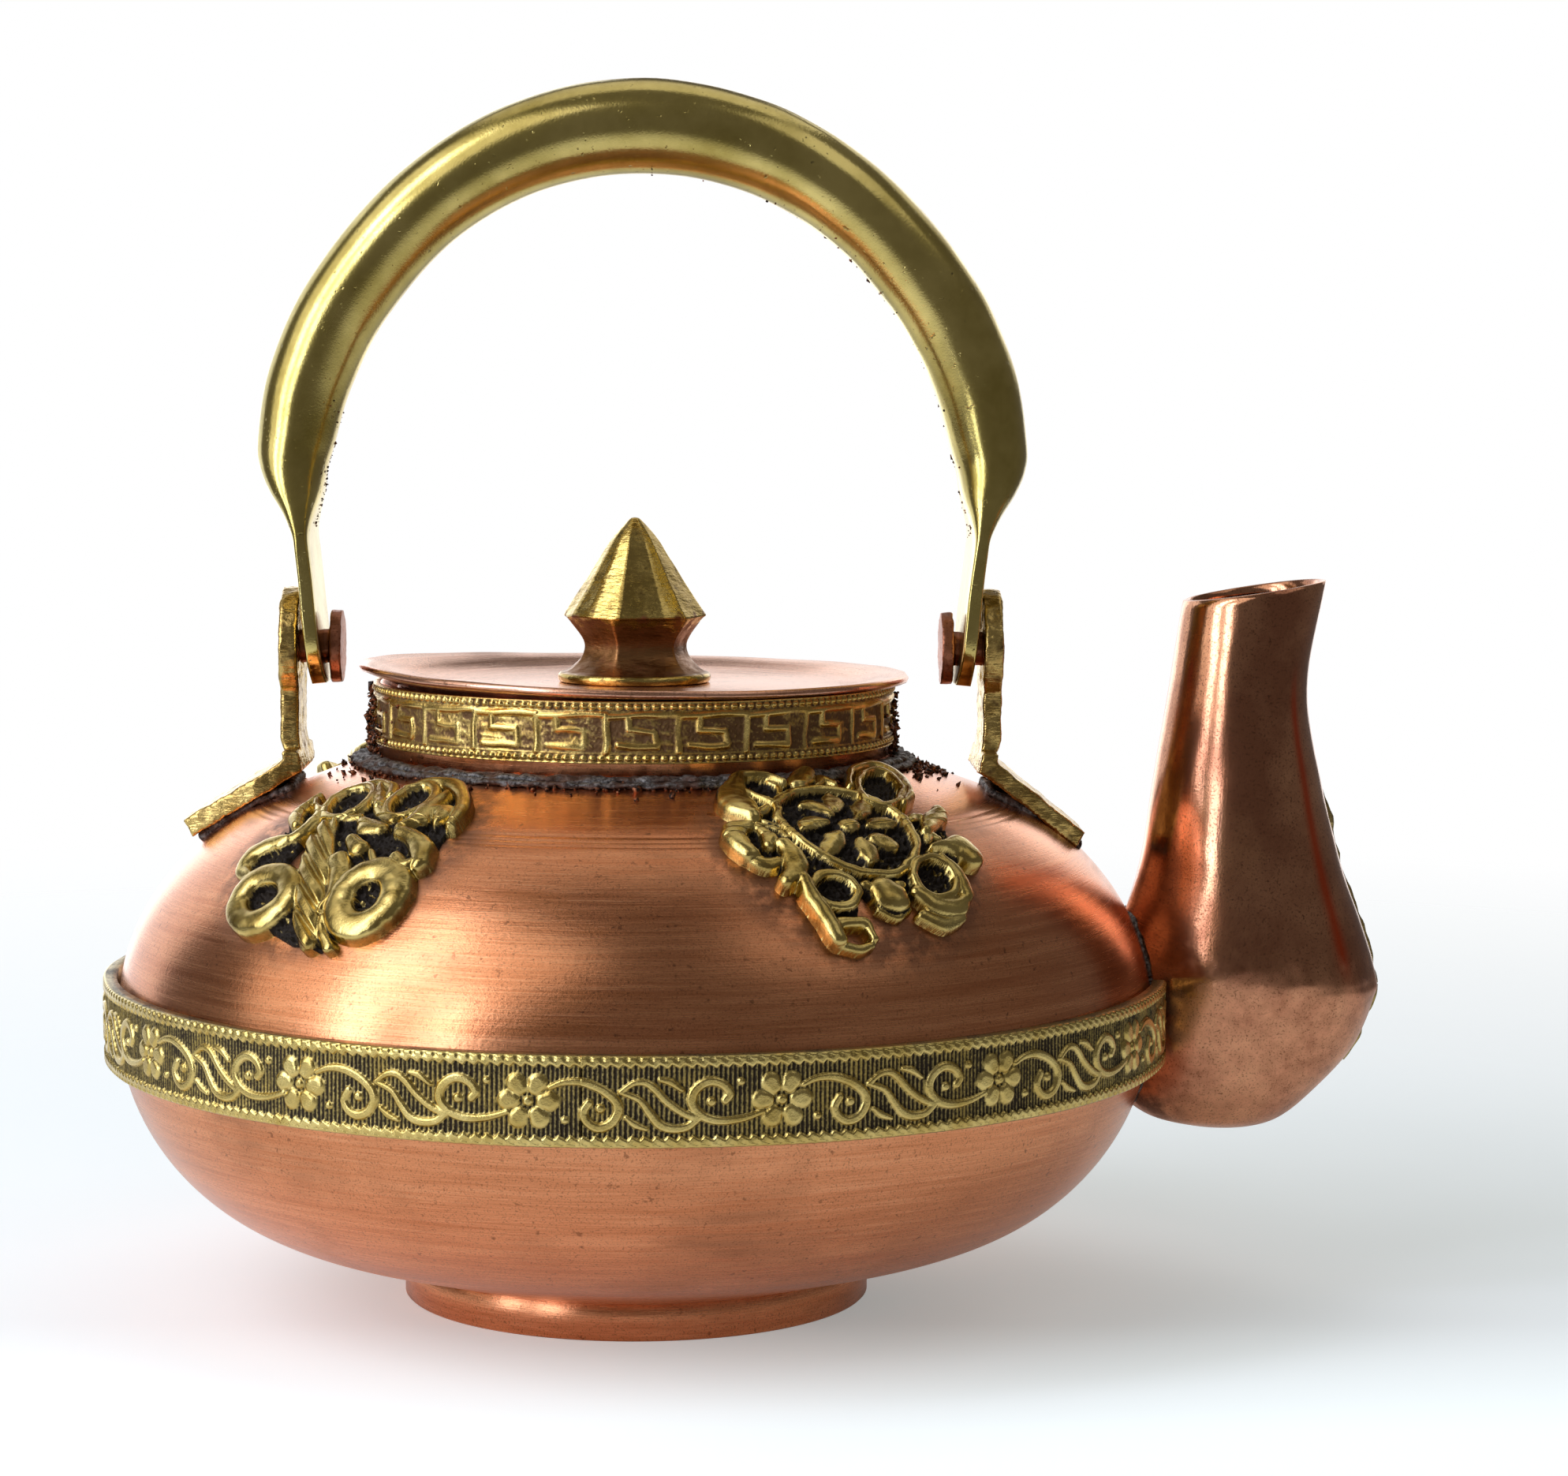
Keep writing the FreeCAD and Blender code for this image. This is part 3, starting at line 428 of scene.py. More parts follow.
def beaten_copper(name, light, dark, shine, dent, soot_and_shade=(), matte_below=None):
    """Pressed and burnished sheet: soft dents, dark clouds, stray scratches, a painted red reflection where
    marked, burnt flux and painted shade in patches, and dull below a height.
    """
    material, tree = new_material(name)
    dents = noise(tree, 3.2, 2.0)
    cloud = noise(tree, 14.0, 5.0, 0.65)
    lines = noise(tree, 0.5, 3.0, stretch=(1.0, 1.0, 0.06))
    grain = noise(tree, 0.25, 3.0)
    colour = blend(tree, fade(tree, cloud, 0.38, 0.62), light, dark)
    colour = blend(tree, fade(tree, grain, 0.54, 0.68, 0.0, 0.7), colour, (0.13, 0.045, 0.02))
    # painted reflection: red where copper mirrors copper beside the outer seam
    red_reflection = node(tree, "Attribute", attribute_name="red_reflection").outputs["Fac"]
    colour = blend(tree, times(tree, red_reflection, 0.9), colour, (0.70, 0.075, 0.015))
    rough = add(tree, fade(tree, cloud, 0.3, 0.7, shine - 0.03, shine + 0.07),
                fade(tree, grain, 0.4, 0.7, 0.0, 0.06))
    if matte_below:
        level = add(tree, height_here(tree), fade(tree, dents, 0.3, 0.7, -0.003, 0.003))
        matte = fade(tree, level, (matte_below + 2) * MM, (matte_below - 2) * MM)
        rough = add(tree, rough, times(tree, matte, 0.18))
        mottled = times(tree, matte, fade(tree, noise(tree, 1.8, 5.0), 0.4, 0.7, 0.0, 0.5))
        colour = blend(tree, mottled, colour, (0.90, 0.41, 0.23))
    colour, rough = add_soot_and_shade(tree, colour, rough, soot_and_shade)
    height = add(tree, times(tree, dents, dent),
                 add(tree, times(tree, lines, 0.3), times(tree, grain, 0.2)))
    return finish_metal(material, colour, rough, height, 0.03)


def relief_brass(name, bright, worn, ground, shine=0.22):
    """Stamped or cast brass: polished on what stands up, dark oxide in what lies low."""
    material, tree = new_material(name)
    relief = node(tree, "Attribute", attribute_name="relief").outputs["Fac"]
    cloud = noise(tree, 4.0, 5.0)
    grain = noise(tree, 0.3, 4.0, 0.7)
    uneven = add(tree, relief, fade(tree, grain, 0.3, 0.7, -0.16, 0.16))
    clouded = add(tree, uneven, fade(tree, cloud, 0.3, 0.7, -0.12, 0.12))
    share = fade(tree, clouded, 0.20, 0.55)
    metal = blend(tree, fade(tree, cloud, 0.35, 0.65), bright, worn)
    colour = blend(tree, share, ground, metal)
    rough = add(tree, fade(tree, share, 0.0, 1.0, 0.48, shine), fade(tree, grain, 0.4, 0.8, 0.0, 0.14))
    metallic = fade(tree, share, 0.0, 0.6, 0.6, 1.0)
    coarse = fade(tree, share, 0.0, 1.0, 4.0, 1.0)
    swell = times(tree, noise(tree, 1.2, 3.0), 0.5)
    height = add(tree, times(tree, grain, coarse), swell)
    return finish_metal(material, colour, rough, height, 0.03, metallic)


def drawn_brass(name, light, dark, shine=0.2):
    """Polished tube: fine draw lines, faint green and brown clouds, small pits."""
    material, tree = new_material(name)
    cloud = noise(tree, 16.0, 5.0, 0.6)
    lines = noise(tree, 0.35, 3.0, stretch=(1.0, 0.12, 1.0))
    grain = noise(tree, 0.22, 3.0)
    pits = fade(tree, noise(tree, 0.8, 2.0), 0.68, 0.76)
    colour = blend(tree, fade(tree, cloud, 0.38, 0.64), light, dark)
    colour = blend(tree, times(tree, pits, 0.6), colour, (0.12, 0.09, 0.03))
    rough = add(tree, fade(tree, cloud, 0.3, 0.7, shine - 0.03, shine + 0.08),
                fade(tree, grain, 0.4, 0.7, 0.0, 0.06))
    height = add(tree, times(tree, lines, 0.6), add(tree, times(tree, grain, 0.5), times(tree, pits, -1.5)))
    return finish_metal(material, colour, rough, height, 0.02)


def cast_brass(name, light, dark, shine, coarse=1.0, brown_zone=None):
    """Casting filed by hand: lumps, file marks and brown skin in the hollows, and darker brown and rougher
    between two heights.
    """
    material, tree = new_material(name)
    lumps = noise(tree, 1.6, 3.0)
    cloud = noise(tree, 5.0, 5.0, 0.65)
    marks = noise(tree, 0.35, 3.0, stretch=(0.25, 0.25, 1.0))
    skin_brown = (0.10, 0.055, 0.02)
    colour = blend(tree, fade(tree, cloud, 0.40, 0.62), light, dark)
    colour = blend(tree, fade(tree, lumps, 0.42, 0.28, 0.0, 0.8), colour, skin_brown)
    rough = add(tree, fade(tree, lumps, 0.6, 0.3, shine - 0.03, shine + 0.16),
                fade(tree, marks, 0.4, 0.7, 0.0, 0.10))
    if brown_zone:
        low, high = brown_zone
        place = height_here(tree)
        uneven = add(tree, place, fade(tree, lumps, 0.3, 0.7, -0.0012, 0.0012))
        under = fade(tree, uneven, high * MM, (high - 0.8) * MM)
        brown = times(tree, under, fade(tree, place, low * MM, (low + 0.3) * MM))
        colour = blend(tree, times(tree, brown, 0.85), colour, (0.27, 0.105, 0.045))
        rough = add(tree, rough, times(tree, brown, 0.2))
    height = add(tree, times(tree, lumps, 1.4 * coarse), marks)
    return finish_metal(material, colour, rough, height, 0.09)


def dull_solder(name):
    """Soft solder: grey grains with dark flux and a little copper dust."""
    material, tree = new_material(name)
    grain = noise(tree, 0.5, 5.0, 0.7)
    cloud = noise(tree, 3.0, 4.0)
    colour = blend(tree, fade(tree, grain, 0.40, 0.62), (0.035, 0.025, 0.02), (0.30, 0.28, 0.26))
    colour = blend(tree, fade(tree, cloud, 0.46, 0.62, 0.0, 0.85), colour, (0.10, 0.045, 0.025))
    rough = fade(tree, grain, 0.3, 0.7, 0.70, 0.38)
    height = add(tree, grain, cloud)
    return finish_metal(material, colour, rough, height, 0.18, 0.7)


def filings(name):
    """Burnt copper and brass filings, each its own dark shade."""
    material, tree = new_material(name)
    shade = noise(tree, 0.45, 2.0)
    colour = blend(tree, fade(tree, shade, 0.42, 0.60), (0.02, 0.014, 0.01), (0.34, 0.12, 0.05))
    rough = fade(tree, shade, 0.3, 0.7, 0.65, 0.38)
    return finish_metal(material, colour, rough, noise(tree, 0.15, 3.0), 0.02, 0.8)


# burnt flux, and by the spout's joint painted shade too: where it is thickest, and how far it reaches
MEDAL_PLACES = ("front_left", "front_right", "back_left", "back_right")
MEDAL_SOOT = [(node_centre("medallion_" + place), 19.5) for place in MEDAL_PLACES]
# where the spout meets the body, below the spout and by the belly band's end: burnt flux and painted shade
JOINT_SOOT_AND_SHADE = [
    (np.array((61.0, -10.0, 24.0)), 9.0), (np.array((64.0, -8.0, 20.5)), 8.0),
    (np.array((64.0, -11.0, 37.0)), 7.5), (np.array((61.0, 10.0, 24.0)), 9.0)]
# heights between which the knob is darker brown and rougher, on its waist under the spire
KNOB_WAIST = (node_box("lid_dish")[0][2] + 1.95, node_box("lid_knob")[1][2] - 12.6)

# colours: where it is bright, where it is dull, and for stamped brass the ground; then how rough
COPPER_BODY = turned_copper("copper_body", (0.90, 0.39, 0.185), (0.68, 0.25, 0.105), soot_and_shade=MEDAL_SOOT)
# the lid's copper is painted paler than the body's, a painted highlight for the brighter reflection on its
# rim
COPPER_LID_PAINTED_PALE = turned_copper("copper_lid", (0.92, 0.53, 0.37), (0.76, 0.37, 0.22), shine=0.22)
COPPER_SPOUT = beaten_copper("copper_spout", (0.76, 0.37, 0.20), (0.44, 0.18, 0.095), 0.11, 0.6,
                             JOINT_SOOT_AND_SHADE, matte_below=43.0)
COPPER_RIVET = beaten_copper("copper_rivet", (0.55, 0.22, 0.12), (0.30, 0.11, 0.06), 0.36, 3.0)
BRASS_TUBE = drawn_brass("brass_tube", (0.80, 0.64, 0.22), (0.46, 0.35, 0.085), 0.14)
BRASS_STRIP = relief_brass("brass_strip", (0.82, 0.64, 0.23), (0.60, 0.43, 0.12), (0.035, 0.022, 0.01), 0.20)
BRASS_NECK = relief_brass("brass_neck", (0.88, 0.64, 0.21), (0.62, 0.38, 0.09), (0.17, 0.085, 0.03), 0.17)
BRASS_MEDAL = relief_brass("brass_medal", (0.76, 0.58, 0.20), (0.42, 0.28, 0.07), (0.018, 0.011, 0.006), 0.12)
BRASS_CAST = cast_brass("brass_cast", (0.70, 0.49, 0.16), (0.42, 0.26, 0.07), 0.18)
BRASS_KNOB = cast_brass("brass_knob", (0.66, 0.47, 0.14), (0.50, 0.34, 0.09), 0.13, 0.12, KNOB_WAIST)
BRASS_BRAZE = cast_brass("brass_braze", (0.60, 0.46, 0.18), (0.46, 0.32, 0.12), 0.28)
SOLDER = dull_solder("solder")
CRUMB = filings("filings")


# ---------------------------------------------------------------- copper body

def bowl_line(inset):
    """Outline of the bowl from the middle of its floor to the equator, inset from outside."""
    radius = BOWL_ARC - inset
    curve = arc(BOWL_CENTRE, radius, CONE_ANGLE - 90, 0, 50)
    slope = math.tan(math.radians(CONE_ANGLE))
    floor = curve[0][1] - (curve[0][0] - FLOOR_RADIUS) * slope
    floor_edge = [(FLOOR_RADIUS - 0.3, floor), (FLOOR_RADIUS + 0.3, floor + 0.3 * slope)]
    return np.vstack([[(0, floor), (FLOOR_RADIUS / 2, floor)], floor_edge, curve])


def dome_line(inset, neck_radius):
    """Outline of the dome from the equator to the neck, inset from outside."""
    low = arc(DOME_LOW_CENTRE, DOME_LOW_ARC - inset, 0, DOME_JOIN, 40)
    high = arc(DOME_HIGH_CENTRE, DOME_HIGH_ARC - inset, DOME_JOIN, CREASE, 40)[1:]
    crease = high[-1]
    slope = math.radians(FACET_SLOPE)
    facet = crease + (-FACET_WIDTH, FACET_WIDTH * math.tan(slope))
    rise = (facet[0] - neck_radius) * math.tan(math.radians(NECK_SLOPE))
    neck = (neck_radius, facet[1] + rise)
    upright = np.array([math.sin(slope), math.cos(slope)])
    ring = [crease + (facet - crease) * share + upright * lift for share, lift in FACET_GROOVES]
    cone = [facet + (neck - facet) * share for share in (0.02, 0.3, 0.6, 0.85, 1.0)]
    return np.vstack([low, high, ring, cone])


BAND_LOW, BAND_HIGH = node_box("belly_band")
NECK_LOW, NECK_HIGH = node_box("neck_band")
NECK_X = (NECK_LOW[0] + NECK_HIGH[0]) / 2
NECK_RADIUS = node_radius("neck_band")
NECK_HOLE = 32.1
# the lid's sheet, which also sets how high the knob stands
LID_WALL = 0.9

DOME_OUTLINE = dome_line(0.0, NECK_HOLE)
FACET_RADIUS, FACET_HEIGHT = DOME_OUTLINE[-5]
DOME_LENGTHS = np.r_[0, np.cumsum(np.hypot(*np.diff(DOME_OUTLINE, axis=0).T))]


def cone_height(radius):
    """Height of the dome where it closes in to the neck."""
    return FACET_HEIGHT + (FACET_RADIUS - radius) * math.tan(math.radians(NECK_SLOPE))


def on_dome(length, azimuth, lift):
    """Point on the dome: length up its outline from the equator, azimuth, and lift off it."""
    run = np.gradient(DOME_OUTLINE, axis=0)
    run /= np.linalg.norm(run, axis=1)[:, None]
    radius, height, outward, upward = [
        np.interp(length, DOME_LENGTHS, column)
        for column in (DOME_OUTLINE[:, 0], DOME_OUTLINE[:, 1], run[:, 1], -run[:, 0])]
    radius = radius + outward * lift
    return np.stack([radius * np.cos(azimuth), radius * np.sin(azimuth), height + upward * lift], -1)


def hand_worked(points, amount, length, seed):
    """Moves a turned surface a little in and out, as a spun sheet is never quite true."""
    wave = ripple(points.reshape(-1, 3), length, seed).reshape(points.shape[:-1])
    flat = points[..., :2]
    outward = flat / np.maximum(np.linalg.norm(flat, axis=-1, keepdims=True), 1e-6)
    moved = points.copy()
    moved[..., :2] += outward * (amount * wave)[..., None]
    return moved


def shape_dome(points):
    """Draws the neck hole over to the neck's own centre line."""
    radius = np.linalg.norm(points[..., :2], axis=-1)
    points = hand_worked(points, 0.07, 30.0, 3)
    points[..., 0] += NECK_X * smooth_step((FACET_RADIUS - radius) / (FACET_RADIUS - NECK_HOLE))
    return points


def shape_bowl(points):
    return hand_worked(points, 0.06, 34.0, 5)


def make_body():
    bowl = np.vstack([bowl_line(0.0), bowl_line(SHEET)[::-1]])
    lathe("bowl_shell", bowl, 320, (0, 0), COPPER_BODY, "pot", ["body_lower_bowl"],
          shape_bowl)
    dome = np.vstack([DOME_OUTLINE, dome_line(SHEET, NECK_HOLE)[::-1]])
    lathe("dome_shell", dome, 320, (0, 0), COPPER_BODY, "pot", ["body_upper_dome"],
          shape_dome)


def make_foot():
    low, high = node_box("foot_ring")
    outline = tube_outline(high[1] - FOOT_WALL, high[1], low[2], high[2] + FOOT_LAP)
    lathe("foot", outline, 200, (0, 0), COPPER_BODY, "pot", ["foot_ring"])
    low, high = node_box("foot_solder")
    line = lathe_points([(high[1] - 0.4, high[2] - 0.3)], 260)[:, 0]
    points, faces = bead(line, 0.9, 21)
    points[:, 2] = np.maximum(points[:, 2], 0.5)
    add_piece("foot_solder_bead", points, faces, SOLDER, "pot", ["foot_solder"])


make_body()
make_foot()


# ---------------------------------------------------------------- neck and lid

def make_neck():
    low, high = node_box("neck_collar")
    outer = node_radius("neck_collar")
    outline = tube_outline(outer - SHEET, outer, low[2], high[2])
    lathe("neck_tube", outline, 220, (NECK_X, 0), COPPER_BODY, "pot", ["neck_collar"])


def shards(places, sizes, seed):
    """Points and faces of sharp little grains, each a squashed octahedron turned at random."""
    random = np.random.default_rng(seed)
    corners = np.array([(1, 0, 0), (-1, 0, 0), (0, 1, 0), (0, -1, 0), (0, 0, 1), (0, 0, -1)], float)
    sides = [(0, 2, 4), (2, 1, 4), (1, 3, 4), (3, 0, 4), (2, 0, 5), (1, 2, 5), (3, 1, 5), (0, 3, 5)]
    points, faces = [], []
    for place, size in zip(places, sizes):
        turned = np.linalg.qr(random.normal(size=(3, 3)))[0]
        grain = (corners * random.uniform(0.35, 1.3, 3)) @ turned * size
        faces += [[corner + len(points) * 6 for corner in side] for side in sides]
        points.append(place + grain)
    return np.vstack(points), faces


def round_neck(radius, turn, height):
    return np.stack([NECK_X + radius * np.cos(turn), radius * np.sin(turn), height], 1)


def make_neck_solder():
    """Ragged grey solder round the foot of the neck, in two runs."""
    top = node_box("neck_solder")[1][2]
    reach = node_radius("neck_solder")
    for layer, (inset, drop, size) in enumerate(((2.3, 2.0, 1.15), (1.1, 2.4, 0.8))):
        line = lathe_points([(reach - inset, top - drop)], 420, (NECK_X, 0))[:, 0]
        points, faces = bead(line, size, 22 + layer, around=14, lump=0.3, length=1.3, flat=0.5)
        stands_for = ["neck_solder"] if layer == 0 else []
        add_piece("neck_solder_%d" % (layer + 1), points, faces, SOLDER, "pot", stands_for)


def make_neck_filings():
    """Filings caught in the neck's solder, burnt on the ends of its strip, and strewn to the right."""
    reach = node_radius("neck_solder")
    random = np.random.default_rng(27)
    count = 900
    turn = random.uniform(0, 2 * math.pi, count)
    radius = reach - 2.1 + random.gamma(1.6, 0.75, count)
    crusts = [round_neck(radius, turn, cone_height(radius) + 0.1)]
    sizes = random.gamma(2.0, 0.13, count) + 0.08
    # azimuth and its spread in degrees, number of grains, and how far they stand out
    for middle, spread, grains, out in ((180, 10, 620, 0.05), (-4, 5, 160, -0.05)):
        turn = np.radians(random.normal(middle, spread, grains))
        radius = NECK_RADIUS + np.minimum(random.gamma(1.3, 0.16, grains), 0.6) + out - 0.2
        rise = random.beta(1.0, 1.5, grains) * (NECK_HIGH[2] - NECK_LOW[2] + 1.8)
        crusts.append(round_neck(radius, turn, NECK_LOW[2] - 2.4 + rise))
    strewn = 170
    turn = np.radians(random.normal(8, 14, strewn))
    radius = reach + random.gamma(1.5, 1.3, strewn) - 1.0
    crusts.append(round_neck(radius, turn, cone_height(radius) + 0.2))
    places = np.vstack(crusts)
    sizes = np.r_[sizes, random.gamma(2.4, 0.10, len(places) - count) + 0.08]
    points, faces = shards(places, sizes, 28)
    add_piece("neck_filings", points, faces, CRUMB, "pot")


def lid_wave(points):
    """Bends the lid's rim up and down, as the real one is out of flat."""
    across = points[..., 0] - NECK_X
    radius = np.hypot(across, points[..., 1])
    turn = np.arctan2(points[..., 1], across)
    wave = -0.25 - 0.72 * np.cos(turn) - 0.3 * np.sin(turn) + 0.3 * np.cos(2 * turn)
    rim = node_radius("lid_dish")
    flat = rim - 8.0
    moved = points.copy()
    moved[..., 2] += wave * np.clip((radius - flat) / (rim - flat), 0, 1) ** 2
    moved[..., 2] += 0.05 * ripple(points, 12.0, 8) * np.clip(radius / rim, 0, 1)
    return moved


def make_lid():
    low, high = node_box("lid_dish")
    rim = node_radius("lid_dish")
    bottom = low[2]
    flat = 27.0
    seat = 31.6
    curve = [(flat, bottom), (flat + 1.8, bottom + 0.1), (seat - 1.2, bottom + 0.72), (seat, bottom + 1.15)]
    edge = [(33.4, bottom + 1.5), (rim - 0.15, high[2] - LID_WALL)]
    under = [(0, bottom), (12, bottom), (22, bottom), *curve, *edge]
    over = [(radius - 0.2, height + LID_WALL) for radius, height in under[:0:-1]]
    outline = np.vstack([under, [(rim + 0.02, high[2] - LID_WALL / 2)], over, [(0, bottom + LID_WALL)]])
    lathe("lid", outline, 260, (NECK_X, 0), COPPER_LID_PAINTED_PALE, "lid", ["lid_dish"], lid_wave)
    low, high = node_box("lid_locating_ring")
    outer = node_radius("lid_locating_ring")
    ring = tube_outline(outer - 0.8, outer, low[2], bottom + 0.4, 0.15)
    lathe("lid_ring", ring, 200, (NECK_X, 0), COPPER_LID_PAINTED_PALE, "lid", ["lid_locating_ring"])
    low, high = node_box("lid_knob_washer")
    washer = tube_outline(1.5, node_radius("lid_knob_washer"), low[2], high[2], 0.2)
    lathe("lid_washer", washer, 60, (NECK_X, 0), COPPER_RIVET, "lid", ["lid_knob_washer"])


# Arrises of the knob, as azimuths in degrees: of its spire, and of the stem below the spire.
SPIRE_ARRISES = (-175, -148, -127, -102, -63, -46, -5, 42, 88, 132)
STEM_ARRISES = (-160, -108, -42, 8, 60, 110, 150)


def faceted(turn, arrises):
    """Radius of a hand-filed polygon whose corners lie on a circle of radius 1."""
    corners = np.radians(np.array([*arrises, arrises[0] + 360]))
    radius = np.ones(turn.shape)
    for start, end in zip(corners[:-1], corners[1:]):
        middle = (start + end) / 2
        away = (turn - middle + math.pi) % (2 * math.pi) - math.pi
        half = (end - start) / 2
        flat = math.cos(half) / np.maximum(np.cos(away), 0.2)
        radius = np.where(np.abs(away) <= half, flat, radius)
    return np.minimum(radius, 0.992)


def make_knob():
    """Faceted spire on a round flange, cast in one and filed by hand."""
    low, high = node_box("lid_knob")
    tip = high[2]
    top = node_box("lid_dish")[0][2] + LID_WALL
    # height, radius, how far from round to faceted, and how much of it is the stem's facets
    profile = [
        (tip, 0.25, 0.2, 0), (tip - 0.3, 0.8, 0.4, 0), (tip - 2.4, 2.75, 0.85, 0), (tip - 5.0, 4.45, 1, 0),
        (tip - 7.3, 5.9, 1, 0), (tip - 9.8, 7.5, 1, 0), (tip - 11.9, 8.9, 1, 0), (tip - 12.45, 9.2, 0.9, 0.1),
        (tip - 12.9, 8.95, 0.9, 0.6), (tip - 14.9, 7.35, 0.9, 1), (tip - 16.2, 6.75, 0.9, 1),
        (tip - 17.5, 7.0, 0.8, 1), (tip - 18.6, 7.8, 0.5, 1), (top + 1.45, 8.9, 0.2, 1),
        (top + 1.2, 9.6, 0.1, 1), (top + 0.7, 9.8, 0, 1), (top + 0.15, 9.6, 0, 1), (top, 9.2, 0, 1)]
    rows = spline(profile, 7)
    stem = [(top, 1.6, 0, 1), (low[2] + 0.7, 1.6, 0, 1), (low[2] + 0.65, 2.1, 0, 1), (low[2], 1.8, 0, 1)]
    rows = np.vstack([rows, [(top, 5.0, 0, 1)], stem])
    turn = np.linspace(0, 2 * math.pi, 240, endpoint=False)
    share = rows[:, 3:4]
    facets = (1 - share) * faceted(turn, SPIRE_ARRISES) + share * faceted(turn, STEM_ARRISES)
    radius = rows[:, 1:2] * (1 + rows[:, 2:3] * (facets - 1))
    height = np.broadcast_to(rows[:, :1], radius.shape)
    points = np.stack([radius * np.cos(turn), radius * np.sin(turn), height], -1)
    lump = ripple(points, 3.2, 31) * 0.03 + ripple(points, 0.9, 32) * 0.003
    lump *= np.clip(radius / 3.0, 0, 1)
    points[..., 0] += np.cos(turn) * lump + NECK_X
    points[..., 1] += np.sin(turn) * lump
    points, faces = skin(list(points))
    add_piece("knob", points, faces, BRASS_KNOB, "lid", ["lid_knob"])


# ---------------------------------------------------------------- bail, lugs and rivets

BAIL_X = node_centre("bail_handle")[0]
BAIL_CENTRE_HEIGHT = node_box("bail_handle")[1][2] - 49.0
TUBE_HALF = 6.0
TAB_TILT = 6.0
# angle above the arch's centre, then outer and inner edge of the tube measured from it
BAIL_ARCH = [(90, 49.0, 37.0), (70, 48.7, 37.1), (50, 48.2, 37.2), (30, 48.4, 37.5), (15, 49.0, 38.3),
             (4, 49.1, 39.2)]
# below the arch: height, middle, half thickness, half width and squareness
BAIL_TAPER = [(106.0, 44.4, 4.4, 6.9, 2.2), (103.0, 44.0, 3.5, 7.5, 2.6), (100.0, 43.4, 2.1, 8.1, 3.2),
              (97.6, 42.95, 1.2, 8.4, 4.5), (95.0, 42.65, 1.0, 8.5, 7.0), (89.0, 42.0, 1.0, 8.5, 9.0),
              (83.2, 41.4, 1.0, 8.45, 9.0), (80.4, 41.1, 1.0, 6.4, 9.0), (78.7, 40.93, 1.0, 4.1, 9.0)]


def bail_side():
    """Rows down one side: middle x and z, direction across the tube, its halves and squareness."""
    rows = []
    for degrees, outer, inner in BAIL_ARCH:
        angle = math.radians(degrees)
        middle = (outer + inner) / 2
        half = (outer - inner) / 2
        width = TUBE_HALF * math.sqrt(TUBE_HALF / half)
        rows.append((middle * math.cos(angle), BAIL_CENTRE_HEIGHT + middle * math.sin(angle), degrees, half,
                     width, 2.0))
    for height, middle, half, width, squareness in BAIL_TAPER:
        tilt = -TAB_TILT if height < 98 else 0.0
        rows.append((middle, height, tilt, half, width, squareness))
    return np.array(rows)


def make_bail():
    side = bail_side()
    mirrored = side[:0:-1] * (-1, 1, 1, 1, 1, 1)
    mirrored[:, 2] = 180 - mirrored[:, 2]
    rows = spline(np.vstack([side[::-1], mirrored[::-1]]), 12)
    sections = []
    for middle, height, degrees, half, width, squareness in rows:
        angle = math.radians(degrees)
        across = (math.cos(angle), 0, math.sin(angle))
        sections.append(oval((middle + BAIL_X, 0, height), across, (0, 1, 0), half, width, squareness, 96))
    points, faces = skin(sections)
    points = points + 0.035 * ripple(points, 9.0, 41)[:, None] * np.array([1, 0.4, 1])
    add_piece("bail", points, faces, BRASS_TUBE, "bail", ["bail_handle"])


def reworked(node, voxel, smooth, lump, seed):
    """A copy of a CAD node's mesh with its edges worn round and its faces a little lumpy."""
    source = add_object("reworked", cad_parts[node].data.copy())
    remesh = source.modifiers.new("remesh", "REMESH")
    remesh.mode = "VOXEL"
    remesh.voxel_size = voxel * MM
    relax = source.modifiers.new("relax", "SMOOTH")
    relax.factor = 0.5
    relax.iterations = smooth
    mesh = applied(source)
    bpy.data.objects.remove(source)
    points = read_points(mesh)
    normals = np.empty(points.size)
    mesh.vertices.foreach_get("normal", normals)
    wave = ripple(points, 2.5, seed) + 0.4 * ripple(points, 0.9, seed + 1)
    move_points(mesh, points + normals.reshape(-1, 3) * (wave * lump)[:, None])
    return mesh


def dome_height(radius):
    return np.interp(radius, DOME_OUTLINE[::-1, 0], DOME_OUTLINE[::-1, 1])


# the lugs' feet lie below this height, and their uprights above it
FOOT_LEVEL = 71.0


def make_lug_solder(hand, seed):
    """Ragged solder round the foot of a lug, run into the gap between it and the dome."""
    low, high = node_box(hand + "_lug")
    tip, knee = (high[0], low[0]) if hand == "right" else (low[0], high[0])
    # the foot is broad by the knee and narrows from a third of its length to the tip
    side = [(0.12, 0.86), (0.42, 0.86), (0.84, 0.56)]
    outline = side + [(along, -out) for along, out in side[::-1]] + side[:1]
    corners = [(knee + (tip - knee) * along, high[1] * out) for along, out in outline]
    ring = resample(corners, np.linspace(0, len(corners) - 1, 200, endpoint=False))
    height = dome_height(np.hypot(ring[:, 0], ring[:, 1])) + 0.35
    points, faces = bead(np.column_stack([ring, height]), 0.62, seed, around=12, lump=0.3, length=1.8)
    add_piece(hand + "_lug_solder", points, faces, SOLDER, "pot")


